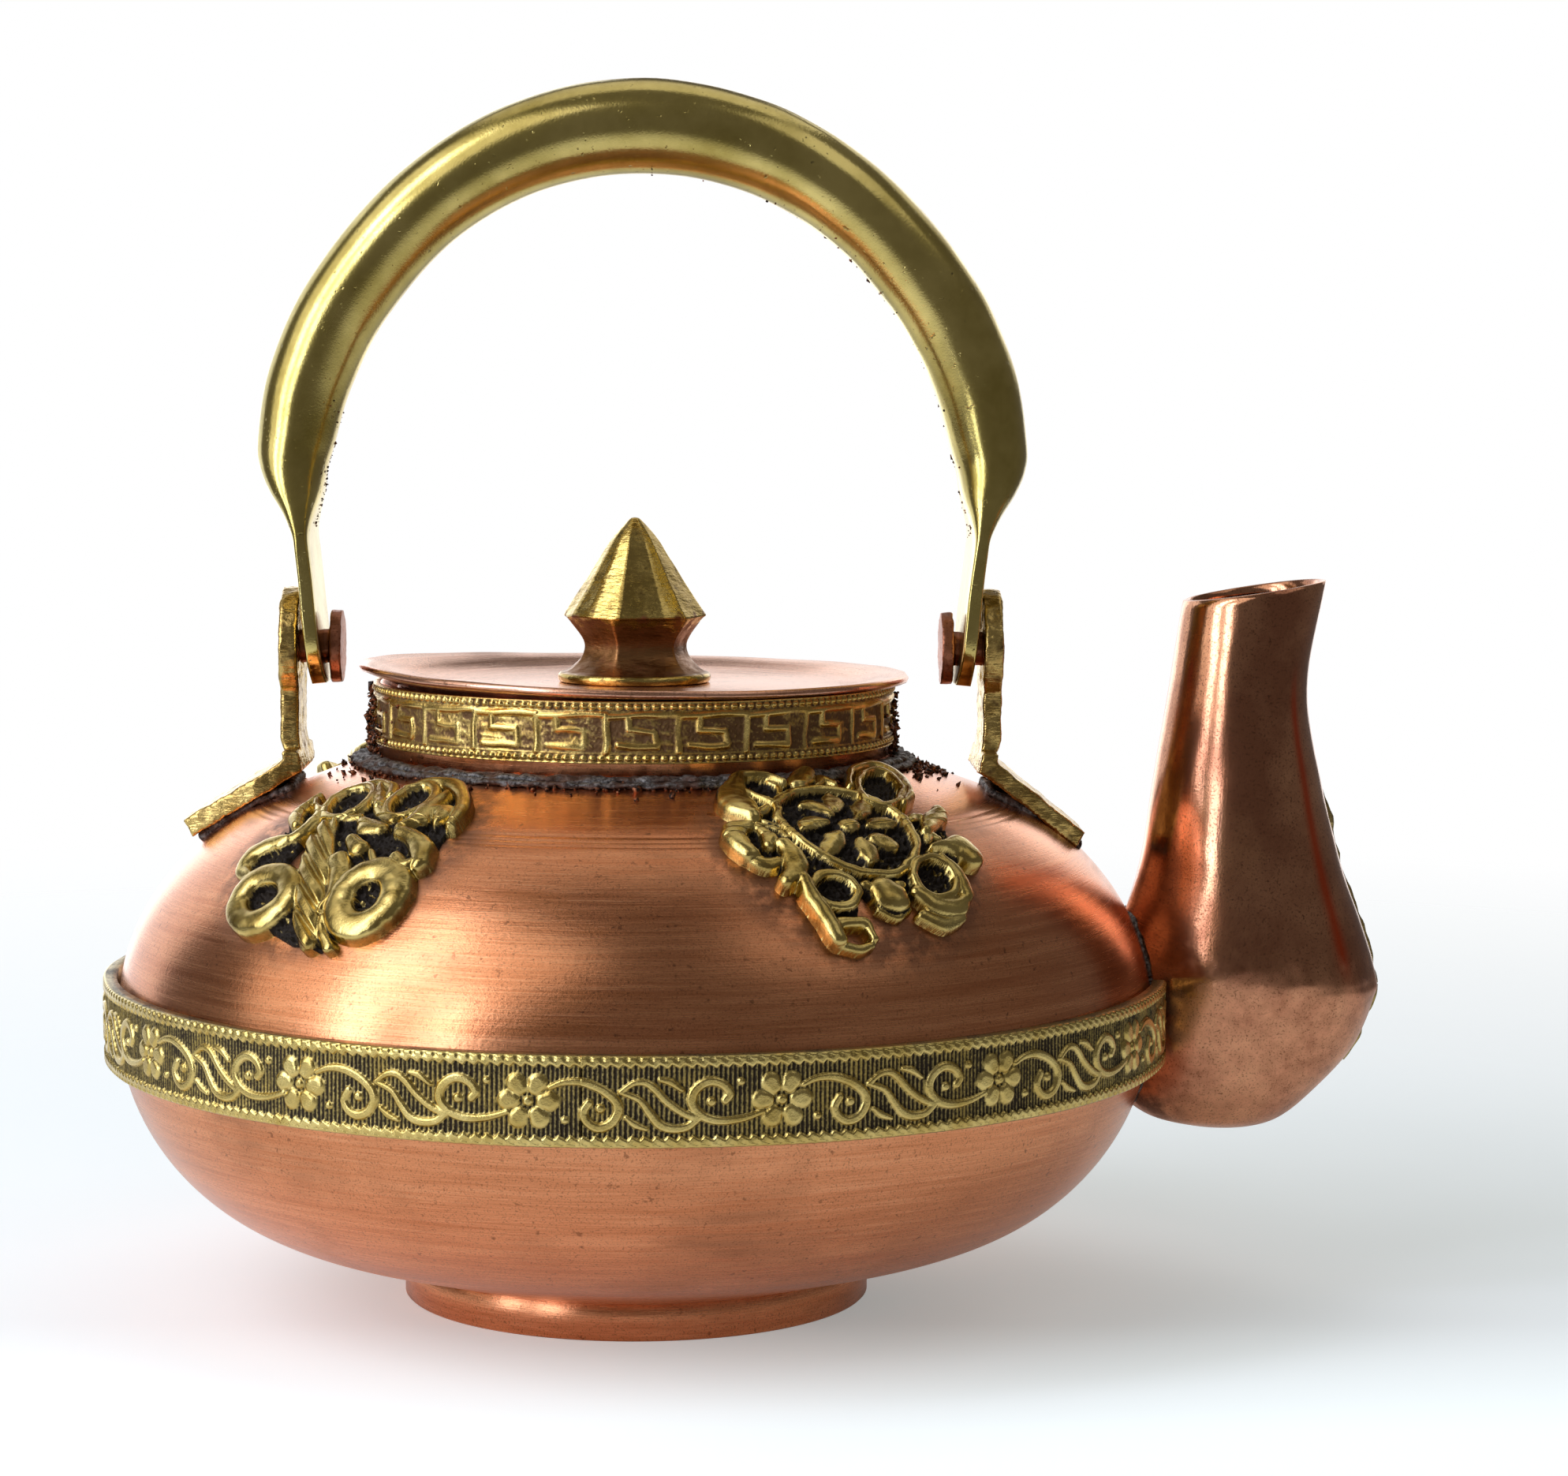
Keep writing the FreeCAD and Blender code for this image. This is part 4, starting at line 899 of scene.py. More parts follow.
def make_burrs():
    """Filings and burrs stuck along the inside of the bail."""
    random = np.random.default_rng(47)
    rows = spline(bail_side()[:, :5], 12)
    places = []
    # number of grains, the stretch of the side that they lie on from top to foot, and the side
    for count, low, high, hand in ((90, 0.30, 0.62, -1), (70, 0.10, 0.66, 1), (26, 0.0, 0.2, 1)):
        for row in rows[(random.uniform(low, high, count) * len(rows)).astype(int)]:
            angle = math.radians(row[2])
            spread = np.clip(random.normal(0, 0.45), -0.9, 0.9)
            inner = row[3] * math.sqrt(max(1 - (spread * 0.8) ** 2, 0.1))
            x = (row[0] - inner * math.cos(angle)) * hand + BAIL_X
            places.append((x, spread * row[4] * 0.8, row[1] - inner * math.sin(angle)))
    places = np.array(places)
    points, faces = shards(places, random.gamma(2.2, 0.055, len(places)) + 0.06, 48)
    add_piece("bail_burrs", points, faces, CRUMB, "bail")


def bend_foot(mesh):
    """Draws the right lug's foot in and down, as it was beaten to the dome."""
    knee = node_box("right_lug")[0][0] + 2.5
    points = read_points(mesh)
    beyond = np.maximum(points[:, 0] - knee, 0) * smooth_step((FOOT_LEVEL - points[:, 2]) / 3.0)
    points[:, 0] -= 0.12 * beyond
    points[:, 2] -= 0.09 * beyond
    move_points(mesh, points)


def make_lugs():
    for hand, seed in (("left", 51), ("right", 55)):
        mesh = reworked(hand + "_lug", 0.28, 4, 0.06, seed)
        if hand == "right":
            bend_foot(mesh)
        place_mesh(hand + "_lug_cast", mesh, BRASS_CAST, "pot", [hand + "_lug"])
        mesh = reworked(hand + "_rivet", 0.18, 3, 0.04, seed + 7)
        place_mesh(hand + "_rivet_hammered", mesh, COPPER_RIVET, "pot", [hand + "_rivet"])
        make_lug_solder(hand, seed + 2)


make_neck()
make_neck_solder()
make_neck_filings()
make_lid()
make_knob()
make_bail()
make_burrs()
make_lugs()


# ---------------------------------------------------------------- spout

# height, edge by the pot, outer edge, half width, and how much fuller it is towards the outside
SPOUT_STATIONS = [
    (21.6, 73.2, 78.0, 2.4, 0.0), (21.9, 70.0, 81.0, 5.0, 0.0), (23.2, 65.5, 84.0, 8.0, 0.0),
    (26.3, 62.0, 87.6, 10.1, 0.05), (32.0, 60.5, 92.6, 11.9, 0.1), (38.6, 60.3, 95.3, 13.7, 0.15),
    (41.0, 60.6, 95.4, 14.1, 0.15), (43.4, 61.2, 94.9, 14.0, 0.12), (48.0, 62.6, 93.4, 13.3, 0.1),
    (56.0, 64.9, 90.5, 12.0, 0.1), (66.0, 66.25, 88.0, 10.9, 0.1), (78.5, 68.2, 85.9, 9.6, 0.05)]
CREASE_HEIGHT = 41.0
SPOUT_WALL = 0.9
MOUTH = (79.0, 90.85)
MOUTH_TILT = 8.9
MOUTH_LENGTH = 18.4
MOUTH_WIDTH = 17.0


def spout_rows(inset):
    """Middle x, height, tilt, half length, half width and fullness of the spout's sections."""
    rows = []
    for height, inner, outer, width, fuller in SPOUT_STATIONS:
        rows.append(((inner + outer) / 2, height, 0.0, (outer - inner) / 2 - inset, width - inset, fuller))
    rows.append((*MOUTH, MOUTH_TILT, MOUTH_LENGTH / 2 - inset, MOUTH_WIDTH / 2 - inset, 0.0))
    return spline(rows, 12)


def spout_ring(row, turn):
    """Offsets along and across one section of the spout."""
    half, width, fuller = row[3:]
    along = np.cos(turn)
    return half * along, width * np.sin(turn) * (1 + fuller * along) / (1 + fuller**2 / 3)


def spout_sections(rows):
    turn = np.linspace(0, 2 * math.pi, 144, endpoint=False)
    sections = []
    for row in rows:
        angle = math.radians(row[2])
        along, across = spout_ring(row, turn)
        place = [row[0] + along * math.cos(angle), across, row[1] + along * math.sin(angle)]
        sections.append(np.stack(place, 1))
    return sections


def body_radius(height):
    """Outer radius of the copper body at a height."""
    bowl = bowl_line(0.0)[4:]
    line = np.vstack([bowl, dome_line(0.0, NECK_HOLE)[1:]])
    return np.interp(height, line[:, 1], line[:, 0])


def cut_by_body(mesh):
    """Takes away what lies inside the copper body."""
    outline = np.vstack([bowl_line(0.4), dome_line(0.4, 0.0)[1:]])
    points = lathe_points(outline, 256).reshape(-1, 3)
    core = closed_mesh("core", points, grid_faces(256, len(outline), True, False), merge=True)
    cutter = add_object("core", core)
    subject = add_object("subject", mesh)
    cut = subject.modifiers.new("cut", "BOOLEAN")
    cut.operation = "DIFFERENCE"
    cut.solver = "EXACT"
    cut.object = cutter
    result = applied(subject)
    for item in (cutter, subject):
        bpy.data.objects.remove(item)
    return result


def mark_red_reflection(mesh):
    """Marks a strip beside the outer seam, where copper mirrors copper and looks red, for a painted red
    reflection.
    """
    points = read_points(mesh)
    rows = spout_rows(0.0)
    edge = np.interp(points[:, 2], rows[:, 1], rows[:, 0] + rows[:, 3])
    middle = np.interp(points[:, 2], rows[:, 1], rows[:, 0])
    away = (edge - points[:, 0]) / (edge - middle)
    mark = np.exp(-((away - 0.30) / 0.05) ** 2) * smooth_step((points[:, 2] - 40) / 6)
    mark *= smooth_step((83 - points[:, 2]) / 8)
    red_reflection = mesh.attributes.new("red_reflection", "FLOAT", "POINT")
    red_reflection.data.foreach_set("value", mark.astype(np.float32))


def make_spout():
    outer = spout_sections(spout_rows(0.0))
    inner = spout_sections(spout_rows(SPOUT_WALL)[3:])
    lip = [(outer[-1] + inner[-1]) / 2 + np.array([0, 0, 0.12])]
    points, faces = skin(outer + lip + inner[::-1])
    by_crease = np.exp(-((points[:, 2] - CREASE_HEIGHT + 1.0) / 3.2) ** 2)
    hammered = by_crease * smooth_step((points[:, 0] - 74) / 8)
    dent = 0.02 * ripple(points, 6.0, 61) + 0.08 * ripple(points, 19.0, 62)
    dent += 0.10 * hammered * ripple(points, 5.0, 63)
    spread = points - (78.0, 0, 0)
    spread[:, 2] = 0
    spread /= np.maximum(np.linalg.norm(spread, axis=1)[:, None], 1e-6)
    points = points + spread * dent[:, None] * np.clip((points[:, 2:] - 20) / 8, 0.2, 1)
    mesh = cut_by_body(closed_mesh("spout_whole", points, faces))
    mark_red_reflection(mesh)
    place_mesh("spout", mesh, COPPER_SPOUT, "pot", ["spout_near_half", "spout_far_half"])


def spout_joint():
    """Closed line where the spout's outside meets the body."""
    upper = []
    turn = np.radians(np.linspace(90, 180, 200))
    for row in spout_rows(0.0):
        along, across = spout_ring(row, turn)
        gap = np.hypot(row[0] + along, across) - body_radius(row[1])
        crossing = np.nonzero((gap[:-1] > 0) & (gap[1:] <= 0))[0]
        if len(crossing):
            upper.append((row[0] + along[crossing[0]], across[crossing[0]], row[1]))
    upper = np.array(upper)
    lower = upper[::-1] * (1, -1, 1)
    closed = np.vstack([upper, lower, upper[:1]])
    return resample(closed, np.linspace(0, len(closed) - 1, 260, endpoint=False))


def make_spout_joint():
    points, faces = bead(spout_joint(), 0.45, 71, lump=0.5)
    add_piece("spout_solder", points, faces, SOLDER, "pot")
    seam = [(row[0] + row[3] - 0.05, 0.0, row[1]) for row in spout_rows(0.0) if 30 < row[1] < 66]
    back = [(x - 0.5, y, z) for x, y, z in seam[::-1]]
    points, faces = bead(np.array(seam + back), 0.5, 73, around=8, lump=0.35)
    add_piece("spout_seam_braze", points, faces, BRASS_BRAZE, "pot", ["spout_seam"])


make_spout()
make_spout_joint()


# ---------------------------------------------------------------- stamped and cast relief

# A design is drawn flat in millimetres as ridges. ridge() is 1 along a line's crest, 0 at
# half its width, and negative beyond, so that several can be joined by taking the highest.

def ridge(across, up, line, half_widths):
    line = np.asarray(line, float)
    if len(line) < len(half_widths):
        line = resample(line, np.linspace(0, len(line) - 1, 3 * len(half_widths)))
    share = np.linspace(0, 1, len(line))
    widths = np.interp(share, np.linspace(0, 1, len(half_widths)), half_widths)
    best = np.full(across.shape, -9.0)
    for start, end, width, following in zip(line[:-1], line[1:], widths[:-1], widths[1:]):
        run = end - start
        square = max(run @ run, 1e-9)
        along = np.clip(((across - start[0]) * run[0] + (up - start[1]) * run[1]) / square, 0, 1)
        gap = (across - start[0] - along * run[0]) ** 2 + (up - start[1] - along * run[1]) ** 2
        best = np.maximum(best, 1 - gap / (width + along * (following - width)) ** 2)
    return best


def curve(points):
    return spline(points, 8)


def drawn(line):
    """Rounds a list of three or more points; an oval or a straight run stays as it is."""
    return curve(line) if isinstance(line, list) and len(line) > 2 else line


def flat_ripple(across, up, length, seed):
    """Unevenness over a design that is drawn flat."""
    return ripple(np.stack([across, up, up * 0], -1), length, seed)


def loop(centre_x, centre_y, half_long, half_short, turn=0.0):
    """Closed oval line, its long axis turned by some degrees."""
    angle = np.linspace(0, 2 * math.pi, 33)
    lean = math.radians(turn)
    along, across = half_long * np.cos(angle), half_short * np.sin(angle)
    return np.stack([centre_x + along * math.cos(lean) - across * math.sin(lean),
                     centre_y + along * math.sin(lean) + across * math.cos(lean)], 1)


def crown(fullness, power=0.5):
    """Rounded top of a ridge."""
    return np.clip(fullness, 0, 1) ** power


# Belly strip: one repeat of flower, scroll, leaf and scroll, about the flower's centre.
STRIP_REPEATS = 14
STRIP_TEETH = 21
# its ends stop BAND_GAP degrees apart by the spout, and the pattern is shifted by BAND_START
BAND_GAP = 18.5
BAND_START = 9.5
BAND_WALL = 1.7
BAND_LENGTHS = 4
PETALS = [(-1.35, 2.0), (1.1, 2.05), (2.4, 0.0), (1.3, -1.95), (-1.15, -1.95), (-2.4, 0.05)]
PETAL_RADIUS = 1.28
FLOWER_EYE = 0.66
SCROLL = [(2.5, 1.6), (4.0, 2.2), (5.8, 2.3), (7.4, 1.9), (8.8, 1.2), (10.0, 0.1), (10.2, -1.1), (9.4, -2.4),
          (8.0, -2.9), (6.8, -2.3), (6.3, -1.2), (6.9, -0.1)]
LEAF_BACK = [(10.5, 1.2), (12.0, 2.2), (13.3, 2.25), (14.4, 1.5), (15.7, 0.1), (17.5, -1.2), (19.2, -1.9)]
LEAF_FRONT = [(19.2, -1.9), (18.0, -2.8), (16.4, -3.0), (14.9, -2.5), (13.7, -1.1), (12.6, 0.3), (10.5, 1.2)]
DASHES = [[(11.1, -1.7), (12.1, -2.5), (13.4, -3.0)], [(14.9, 2.6), (16.1, 2.3), (17.4, 1.4)]]
DOTS = [(8.2, -0.7, 0.62), (4.2, -2.1, 0.52)]
# the second scroll belongs to the next flower, and is drawn about that one
NEXT_SCROLL = [(-2.3, -1.3), (-4.6, -2.0), (-7.2, -2.2), (-9.2, -1.6), (-10.4, -0.2), (-10.1, 1.3),
               (-8.6, 2.3), (-7.0, 2.0), (-6.1, 0.9), (-6.6, 0.1)]
NEXT_DOTS = [(-8.2, 0.0, 0.62), (-4.8, 2.2, 0.52)]


def strip_design(across, up, pitch):
    """Height from 0 to 1 of one repeat; across runs from the flower to the next one."""
    design = np.full(across.shape, -9.0)

    def put(line, widths, x=across):
        np.maximum(design, ridge(x, up, line, widths), out=design)

    for beyond in (0.0, pitch):
        x = across - beyond
        for place in PETALS:
            inner = (place[0] * 0.75, place[1] * 0.75)
            put([inner, place], (PETAL_RADIUS * 0.8, PETAL_RADIUS), x)
        gap = np.hypot(x, up)
        design[gap < 0.95] = -9.0
        put([(0, 0), (0.01, 0)], (FLOWER_EYE,), x)
        put(curve(NEXT_SCROLL), (0.35, 0.6, 0.65, 0.62, 0.55), x)
        for centre_x, centre_y, radius in NEXT_DOTS:
            put([(centre_x, centre_y), (centre_x + 0.01, centre_y)], (radius,), x)
    put(curve(SCROLL), (0.35, 0.6, 0.65, 0.62, 0.55))
    put(curve(LEAF_BACK), (0.35, 0.55, 0.5))
    put(curve(LEAF_FRONT), (0.5, 0.65, 0.35))
    for line in DASHES:
        put(curve(line), (0.3, 0.5, 0.3))
    for centre_x, centre_y, radius in DOTS:
        put([(centre_x, centre_y), (centre_x + 0.01, centre_y)], (radius,))
    return design


def strip_height(around, up, pitch, half):
    """Relief of the whole strip from 0 (ground) to 1; up is measured from its middle."""
    tile = np.mod(around, pitch)
    design = crown(1.35 * strip_design(tile, up, pitch), 0.5)
    wander = 2.2 * flat_ripple(around, around * 0, 9.0, 81)
    grooves = 0.5 + 0.5 * np.sin(2 * math.pi * around / 0.56 + wander)
    ground = 0.06 + 0.36 * grooves
    slanted = np.mod(around / pitch * STRIP_TEETH + 0.35 * np.sign(up) * (np.abs(up) - half), 1.0)
    tooth = np.abs(slanted - 0.5) * 2
    edge = half - 1.10 - 0.5 * tooth
    border = smooth_step((np.abs(up) - edge) / 0.26)
    rope = np.exp(-((np.abs(up) - (half - 0.36)) / 0.20) ** 2) * smooth_step((tooth - 0.45) / 0.35)
    border = border * (0.88 - 0.34 * rope)
    round_edge = smooth_step((half - np.abs(up)) / 0.22)
    return np.maximum(np.maximum(ground, 0.92 * design), border) * (0.35 + 0.65 * round_edge)


def strip_points(face, inner, turn, middle, half, centre_x=0.0):
    """Points of a strip bent round: its face, and an edge at each side that goes in to a radius."""
    rows = edged(face, inner)
    levels = np.r_[-half, np.linspace(-half, half, face.shape[1]), half] + middle
    cosine, sine = np.cos(turn)[:, None], np.sin(turn)[:, None]
    return np.stack([centre_x + rows * cosine, rows * sine, np.broadcast_to(levels, rows.shape)], -1)


def edged(values, level):
    """Adds a column of one value at each side."""
    edge = np.full((len(values), 1), level)
    return np.hstack([edge, values, edge])


def make_belly_band():
    """The strip in four lengths, each with the relief pressed into its face."""
    radius = BAND_HIGH[1]
    middle = (BAND_LOW[2] + BAND_HIGH[2]) / 2
    half = (BAND_HIGH[2] - BAND_LOW[2]) / 2
    gap = math.radians(BAND_GAP) / 2
    pitch = 2 * (math.pi - gap) * radius / STRIP_REPEATS
    up = np.linspace(-half, half, 80)
    for length in range(BAND_LENGTHS):
        first = gap + (2 * math.pi - 2 * gap) * length / BAND_LENGTHS
        last = gap + (2 * math.pi - 2 * gap) * (length + 1) / BAND_LENGTHS
        turn = np.linspace(first, last, 760)
        around, height = np.meshgrid(turn * radius + BAND_START, up, indexing="ij")
        relief = strip_height(around, height, pitch, half)
        face = radius - 0.55 + 0.62 * relief
        face += 0.05 * flat_ripple(around, height, 14.0, 83)
        points, faces = skin(list(strip_points(face, radius - BAND_WALL, turn, middle, half)))
        values = np.r_[edged(relief, 0.3).ravel(), 0.3, 0.3]
        stands_for = ["belly_band"] if length == 0 else []
        add_piece("belly_strip_%d" % (length + 1), points, faces, BRASS_STRIP, "pot",
                  stands_for, values)


# Neck strip: a square meander, with its corner at the foot of each upright.
KEY_COUNT = 24
BEADS_PER_KEY = 8
# the keys are shifted by this much round the neck
KEY_START = 3.0
KEY_BARS = [
    ([(0.0, -2.35), (0.1, 2.2)], 0.50),
    ([(0.4, 2.0), (8.4, 2.2)], 0.50),
    ([(2.7, 1.7), (2.7, 0.35)], 0.50),
    ([(2.7, 0.3), (5.8, 0.15)], 0.50),
    ([(6.0, 0.2), (6.2, -1.5)], 0.52),
    ([(6.1, -1.75), (1.4, -1.65)], 0.55),
]


def neck_height(around, up, pitch, half):
    """Relief of the neck strip from 0 to 1: keys between two rows of beads."""
    tile = np.mod(around, pitch)
    fullness = np.full(tile.shape, -9.0)
    wobble = 0.10 * flat_ripple(around, up, 3.0, 91)
    for beyond in (0.0, pitch):
        for line, width in KEY_BARS:
            place = np.array(line) + (beyond, 0)
            fullness = np.maximum(fullness, ridge(tile + wobble, up + wobble, place, (width,)))
    keys = crown(fullness, 0.6) * (0.80 + 0.2 * flat_ripple(around, up, 6.0, 92))
    bead_pitch = pitch / BEADS_PER_KEY
    local = np.mod(around, bead_pitch) - bead_pitch / 2
    level = half - 0.62
    beads = np.zeros(tile.shape)
    for row in (-level, level):
        distance = (local / 0.50) ** 2 + ((up - row) / 0.46) ** 2
        beads = np.maximum(beads, np.sqrt(np.clip(1 - distance, 0, 1)))
    line = np.exp(-((np.abs(up) - (half - 1.25)) / 0.14) ** 2) * 0.45
    ground = 0.16 + 0.07 * flat_ripple(around, up, 0.5, 93)
    ground += 0.10 * flat_ripple(around, up * 3, 2.2, 94)
    rim = smooth_step((np.abs(up) - (half - 0.24)) / 0.1) * 0.55
    return np.clip(np.maximum.reduce([ground, 0.9 * keys, 0.85 * beads, line, rim]), 0, 1)


# the strip's ground is painted bright about this azimuth, a painted highlight where the key light's highlight
# falls
PAINTED_HIGHLIGHT_AT = math.radians(238)
PAINTED_HIGHLIGHT_REACH = math.radians(30)


def make_neck_band():
    middle = (NECK_LOW[2] + NECK_HIGH[2]) / 2
    half = (NECK_HIGH[2] - NECK_LOW[2]) / 2
    pitch = 2 * math.pi * NECK_RADIUS / KEY_COUNT
    turn = np.linspace(0, 2 * math.pi, 1500, endpoint=False)
    up = np.linspace(-half, half, 58)
    around, height = np.meshgrid(turn * NECK_RADIUS + KEY_START, up, indexing="ij")
    relief = neck_height(around, height, pitch, half)
    # painted highlight: the ground is made bright brass where the key light falls on the strip
    painted_highlight = 0.30 * np.exp(-((turn - PAINTED_HIGHLIGHT_AT) / PAINTED_HIGHLIGHT_REACH) ** 2)[:, None]
    painted_highlight = painted_highlight * smooth_step(0.55 + 0.5 * flat_ripple(around, height, 3.0, 96))
    rim = NECK_RADIUS + height * 0
    place = np.stack([rim * np.cos(turn)[:, None], rim * np.sin(turn)[:, None], height], -1)
    face = NECK_RADIUS - 0.50 + 0.55 * relief + 0.06 * ripple(place, 9.0, 95)
    points = strip_points(face, NECK_RADIUS - 1.0, turn, middle, half, NECK_X)
    faces = grid_faces(*points.shape[:2], True, True)
    add_piece("neck_strip", points.reshape(-1, 3), faces, BRASS_NECK, "pot", ["neck_band"],
              edged(relief + painted_highlight, 0.4))


# Cast medallions, drawn on the shoulder: x to the right, y up the slope. Each part is a line
# with its half widths and its height as a share of the casting's thickness. Each ground is a
# line with half widths too, and lies dark and low between the parts.
WHEEL_PETALS = [
    [(-2.2, 7.6), (-1.0, 8.0), (0.1, 6.9), (0.3, 5.6)], [(2.6, 9.9), (2.4, 8.2), (1.6, 6.2)],
    [(6.9, 7.6), (5.6, 6.4), (3.9, 4.6)], [(7.8, 2.0), (5.9, 2.6), (4.0, 2.2)],
    [(4.9, -2.5), (4.2, -1.2), (2.9, -0.4)], [(0.4, -4.1), (1.1, -2.4), (0.9, -0.7)],
    [(-4.8, -2.8), (-3.0, -0.9), (-1.2, 0.6)], [(-4.9, 2.5), (-3.2, 3.8), (-1.4, 3.6)]]
WHEEL_GROUND = [
    ([(1.3, 2.4), (1.3, 3.4)], (8.0, 8.0)), (loop(1.3, 2.8, 6.6, 7.3), (3.4,)),
    ([(-4.5, 9.4), (-5.3, 13.2)], (3.4, 2.6)), ([(7.0, 7.4), (13.6, 12.8)], (3.6, 2.4)),
    ([(-9.8, 1.2), (-8.4, -4.6)], (2.4, 2.6)), ([(-5.8, -6.0), (-6.0, -10.6)], (3.6, 2.0)),
    ([(0.6, -6.6), (0.8, -9.6)], (4.0, 2.4)), ([(7.2, -6.0), (8.4, -10.4)], (3.8, 2.6)),
    ([(9.2, 1.8), (12.8, -0.4)], (3.0, 2.6)), ([(9.4, -3.2), (13.4, -3.4)], (2.8, 1.8)),
    ([(1.4, 12.4), (3.0, 14.6)], (2.6, 1.6))]
WHEEL_PARTS = [
    (loop(1.3, 2.8, 8.3, 9.1), (0.55,), 0.80), ([(1.1, 2.4), (1.5, 2.5)], (1.25, 1.2), 0.84),
    ([(1.6, 3.2), (2.7, 4.0), (3.6, 4.6)], (0.4, 0.35, 0.4), 0.62),
    # top left loop and its broad outer lobe
    ([(-9.6, 5.9), (-9.9, 8.4), (-9.0, 11.4), (-7.6, 14.0), (-5.6, 15.9), (-3.2, 15.5), (-1.6, 13.4)],
     (1.2, 2.0, 1.75, 1.1, 0.65, 0.6, 0.5), 1.0),
    ([(-7.8, 12.8), (-6.6, 10.4), (-5.6, 8.9)], (0.45, 0.4, 0.5), 0.85),
    ([(-3.0, 14.6), (-2.6, 12.6), (-3.8, 10.4)], (0.45, 0.4, 0.3), 0.7),
    ([(-9.8, 5.4), (-8.2, 6.6), (-6.8, 8.2)], (1.0, 0.7, 0.5), 0.75),
    # top right loop, drawn long, with a second line outside it
    (loop(11.4, 10.4, 5.5, 3.1, 47), (0.5,), 0.9),
    ([(6.8, 11.4), (9.2, 14.6), (13.0, 16.4), (16.2, 15.4), (16.8, 12.2), (15.2, 8.4), (12.2, 6.0)],
     (0.5, 0.6, 0.7, 0.9, 1.2, 0.9, 0.5), 0.95),
    # ribbed knot at the top
    ([(0.4, 13.4), (1.8, 15.2), (3.6, 16.4)], (1.1, 1.5, 1.0), 0.9),
    ([(3.0, 12.8), (4.4, 14.6), (5.4, 13.4), (5.5, 12.4)], (0.5, 0.9, 0.7, 0.4), 0.75),
    # two lobes at the left
    ([(-11.6, 3.4), (-13.2, 2.6), (-14.2, 0.2), (-13.9, -1.8)], (1.0, 1.35, 1.45, 1.2), 0.96),
    ([(-10.6, 2.8), (-10.2, 0.8), (-10.9, -0.8)], (0.6, 0.9, 0.7), 0.86),
    ([(-14.0, -1.6), (-12.7, -3.4), (-10.8, -3.3)], (1.1, 1.0, 0.8), 0.7),
    ([(-9.2, -0.8), (-8.9, -3.0), (-9.6, -5.0), (-11.6, -6.6)], (1.0, 1.35, 1.35, 0.9), 1.0),
    ([(-9.8, 4.0), (-8.2, 2.6), (-7.9, 0.8)], (0.35, 0.4, 0.35), 0.65),
    ([(-8.6, 4.6), (-7.4, 3.2), (-7.3, 1.6)], (0.35, 0.35, 0.3), 0.6),
    # bottom left loop and tail
    (loop(-6.1, -8.2, 2.75, 2.4, 10), (0.5,), 0.84),
    ([(-9.4, -6.4), (-9.3, -9.0), (-8.8, -11.6), (-8.2, -14.6)], (0.8, 0.95, 1.1, 1.0), 1.0),
    ([(-8.4, -13.0), (-6.4, -12.5), (-4.2, -12.9), (-3.8, -14.9)], (0.9, 0.7, 0.75, 0.5), 0.82),
    ([(-8.2, -15.2), (-6.0, -15.9), (-4.2, -15.6)], (0.7, 0.6, 0.5), 0.62),
    # bottom right loop on a ribbed lobe
    (loop(7.9, -7.6, 3.3, 2.75, 40), (0.5,), 0.9),
    ([(10.4, -4.8), (11.6, -7.4), (11.2, -10.4)], (0.5, 1.0, 1.0), 0.96),
    ([(4.6, -9.4), (6.4, -11.2), (9.2, -11.8), (11.0, -10.8)], (0.9, 1.2, 1.3, 1.0), 0.9),
    ([(4.2, -12.2), (6.6, -13.6), (9.6, -13.2)], (0.8, 1.0, 0.7), 0.66),
    # ball and two beads at the foot
    ([(0.4, -9.2), (1.0, -9.6)], (2.1, 1.9), 1.0), ([(-1.7, -7.6), (-1.6, -7.7)], (0.75, 0.7), 0.7),
    ([(2.5, -8.0), (2.9, -8.0)], (0.7, 0.6), 0.7),
    ([(-1.4, -10.8), (0.6, -12.0), (2.4, -11.2)], (0.5,), 0.5),
    # lobes at the right
    ([(10.6, 2.8), (11.8, 3.2), (13.0, 2.7)], (0.6, 0.95, 0.6), 0.72),
    ([(11.2, -0.2), (13.0, 1.2), (15.4, 2.4), (16.4, 3.4)], (0.8, 1.2, 1.5, 1.2), 0.96),
    ([(10.4, -1.6), (11.6, -0.9), (12.4, -1.6)], (0.6, 0.8, 0.5), 0.72),
    ([(9.8, -3.2), (12.4, -3.0), (14.8, -3.4), (15.8, -5.0)], (0.35, 0.7, 1.9, 1.5), 1.0),
]
SCROLL_GROUND = [
    ([(-4.0, 6.4), (5.8, 8.0)], (4.2, 4.0)), ([(-1.0, 2.0), (6.6, -3.4)], (5.0, 4.6)),
    ([(-8.6, 1.2), (-8.8, -6.2)], (2.6, 2.6)), ([(-4.6, -11.0), (-4.3, -11.2)], (4.4, 4.2)),
    ([(2.0, -6.0), (7.0, -15.0)], (4.6, 2.0)), ([(9.8, -8.6), (10.2, -10.0)], (4.0, 3.6)),
    ([(9.4, 4.0), (12.0, -3.0)], (2.6, 2.4)), ([(-1.6, -12.6), (3.2, -14.6)], (2.6, 2.0))]
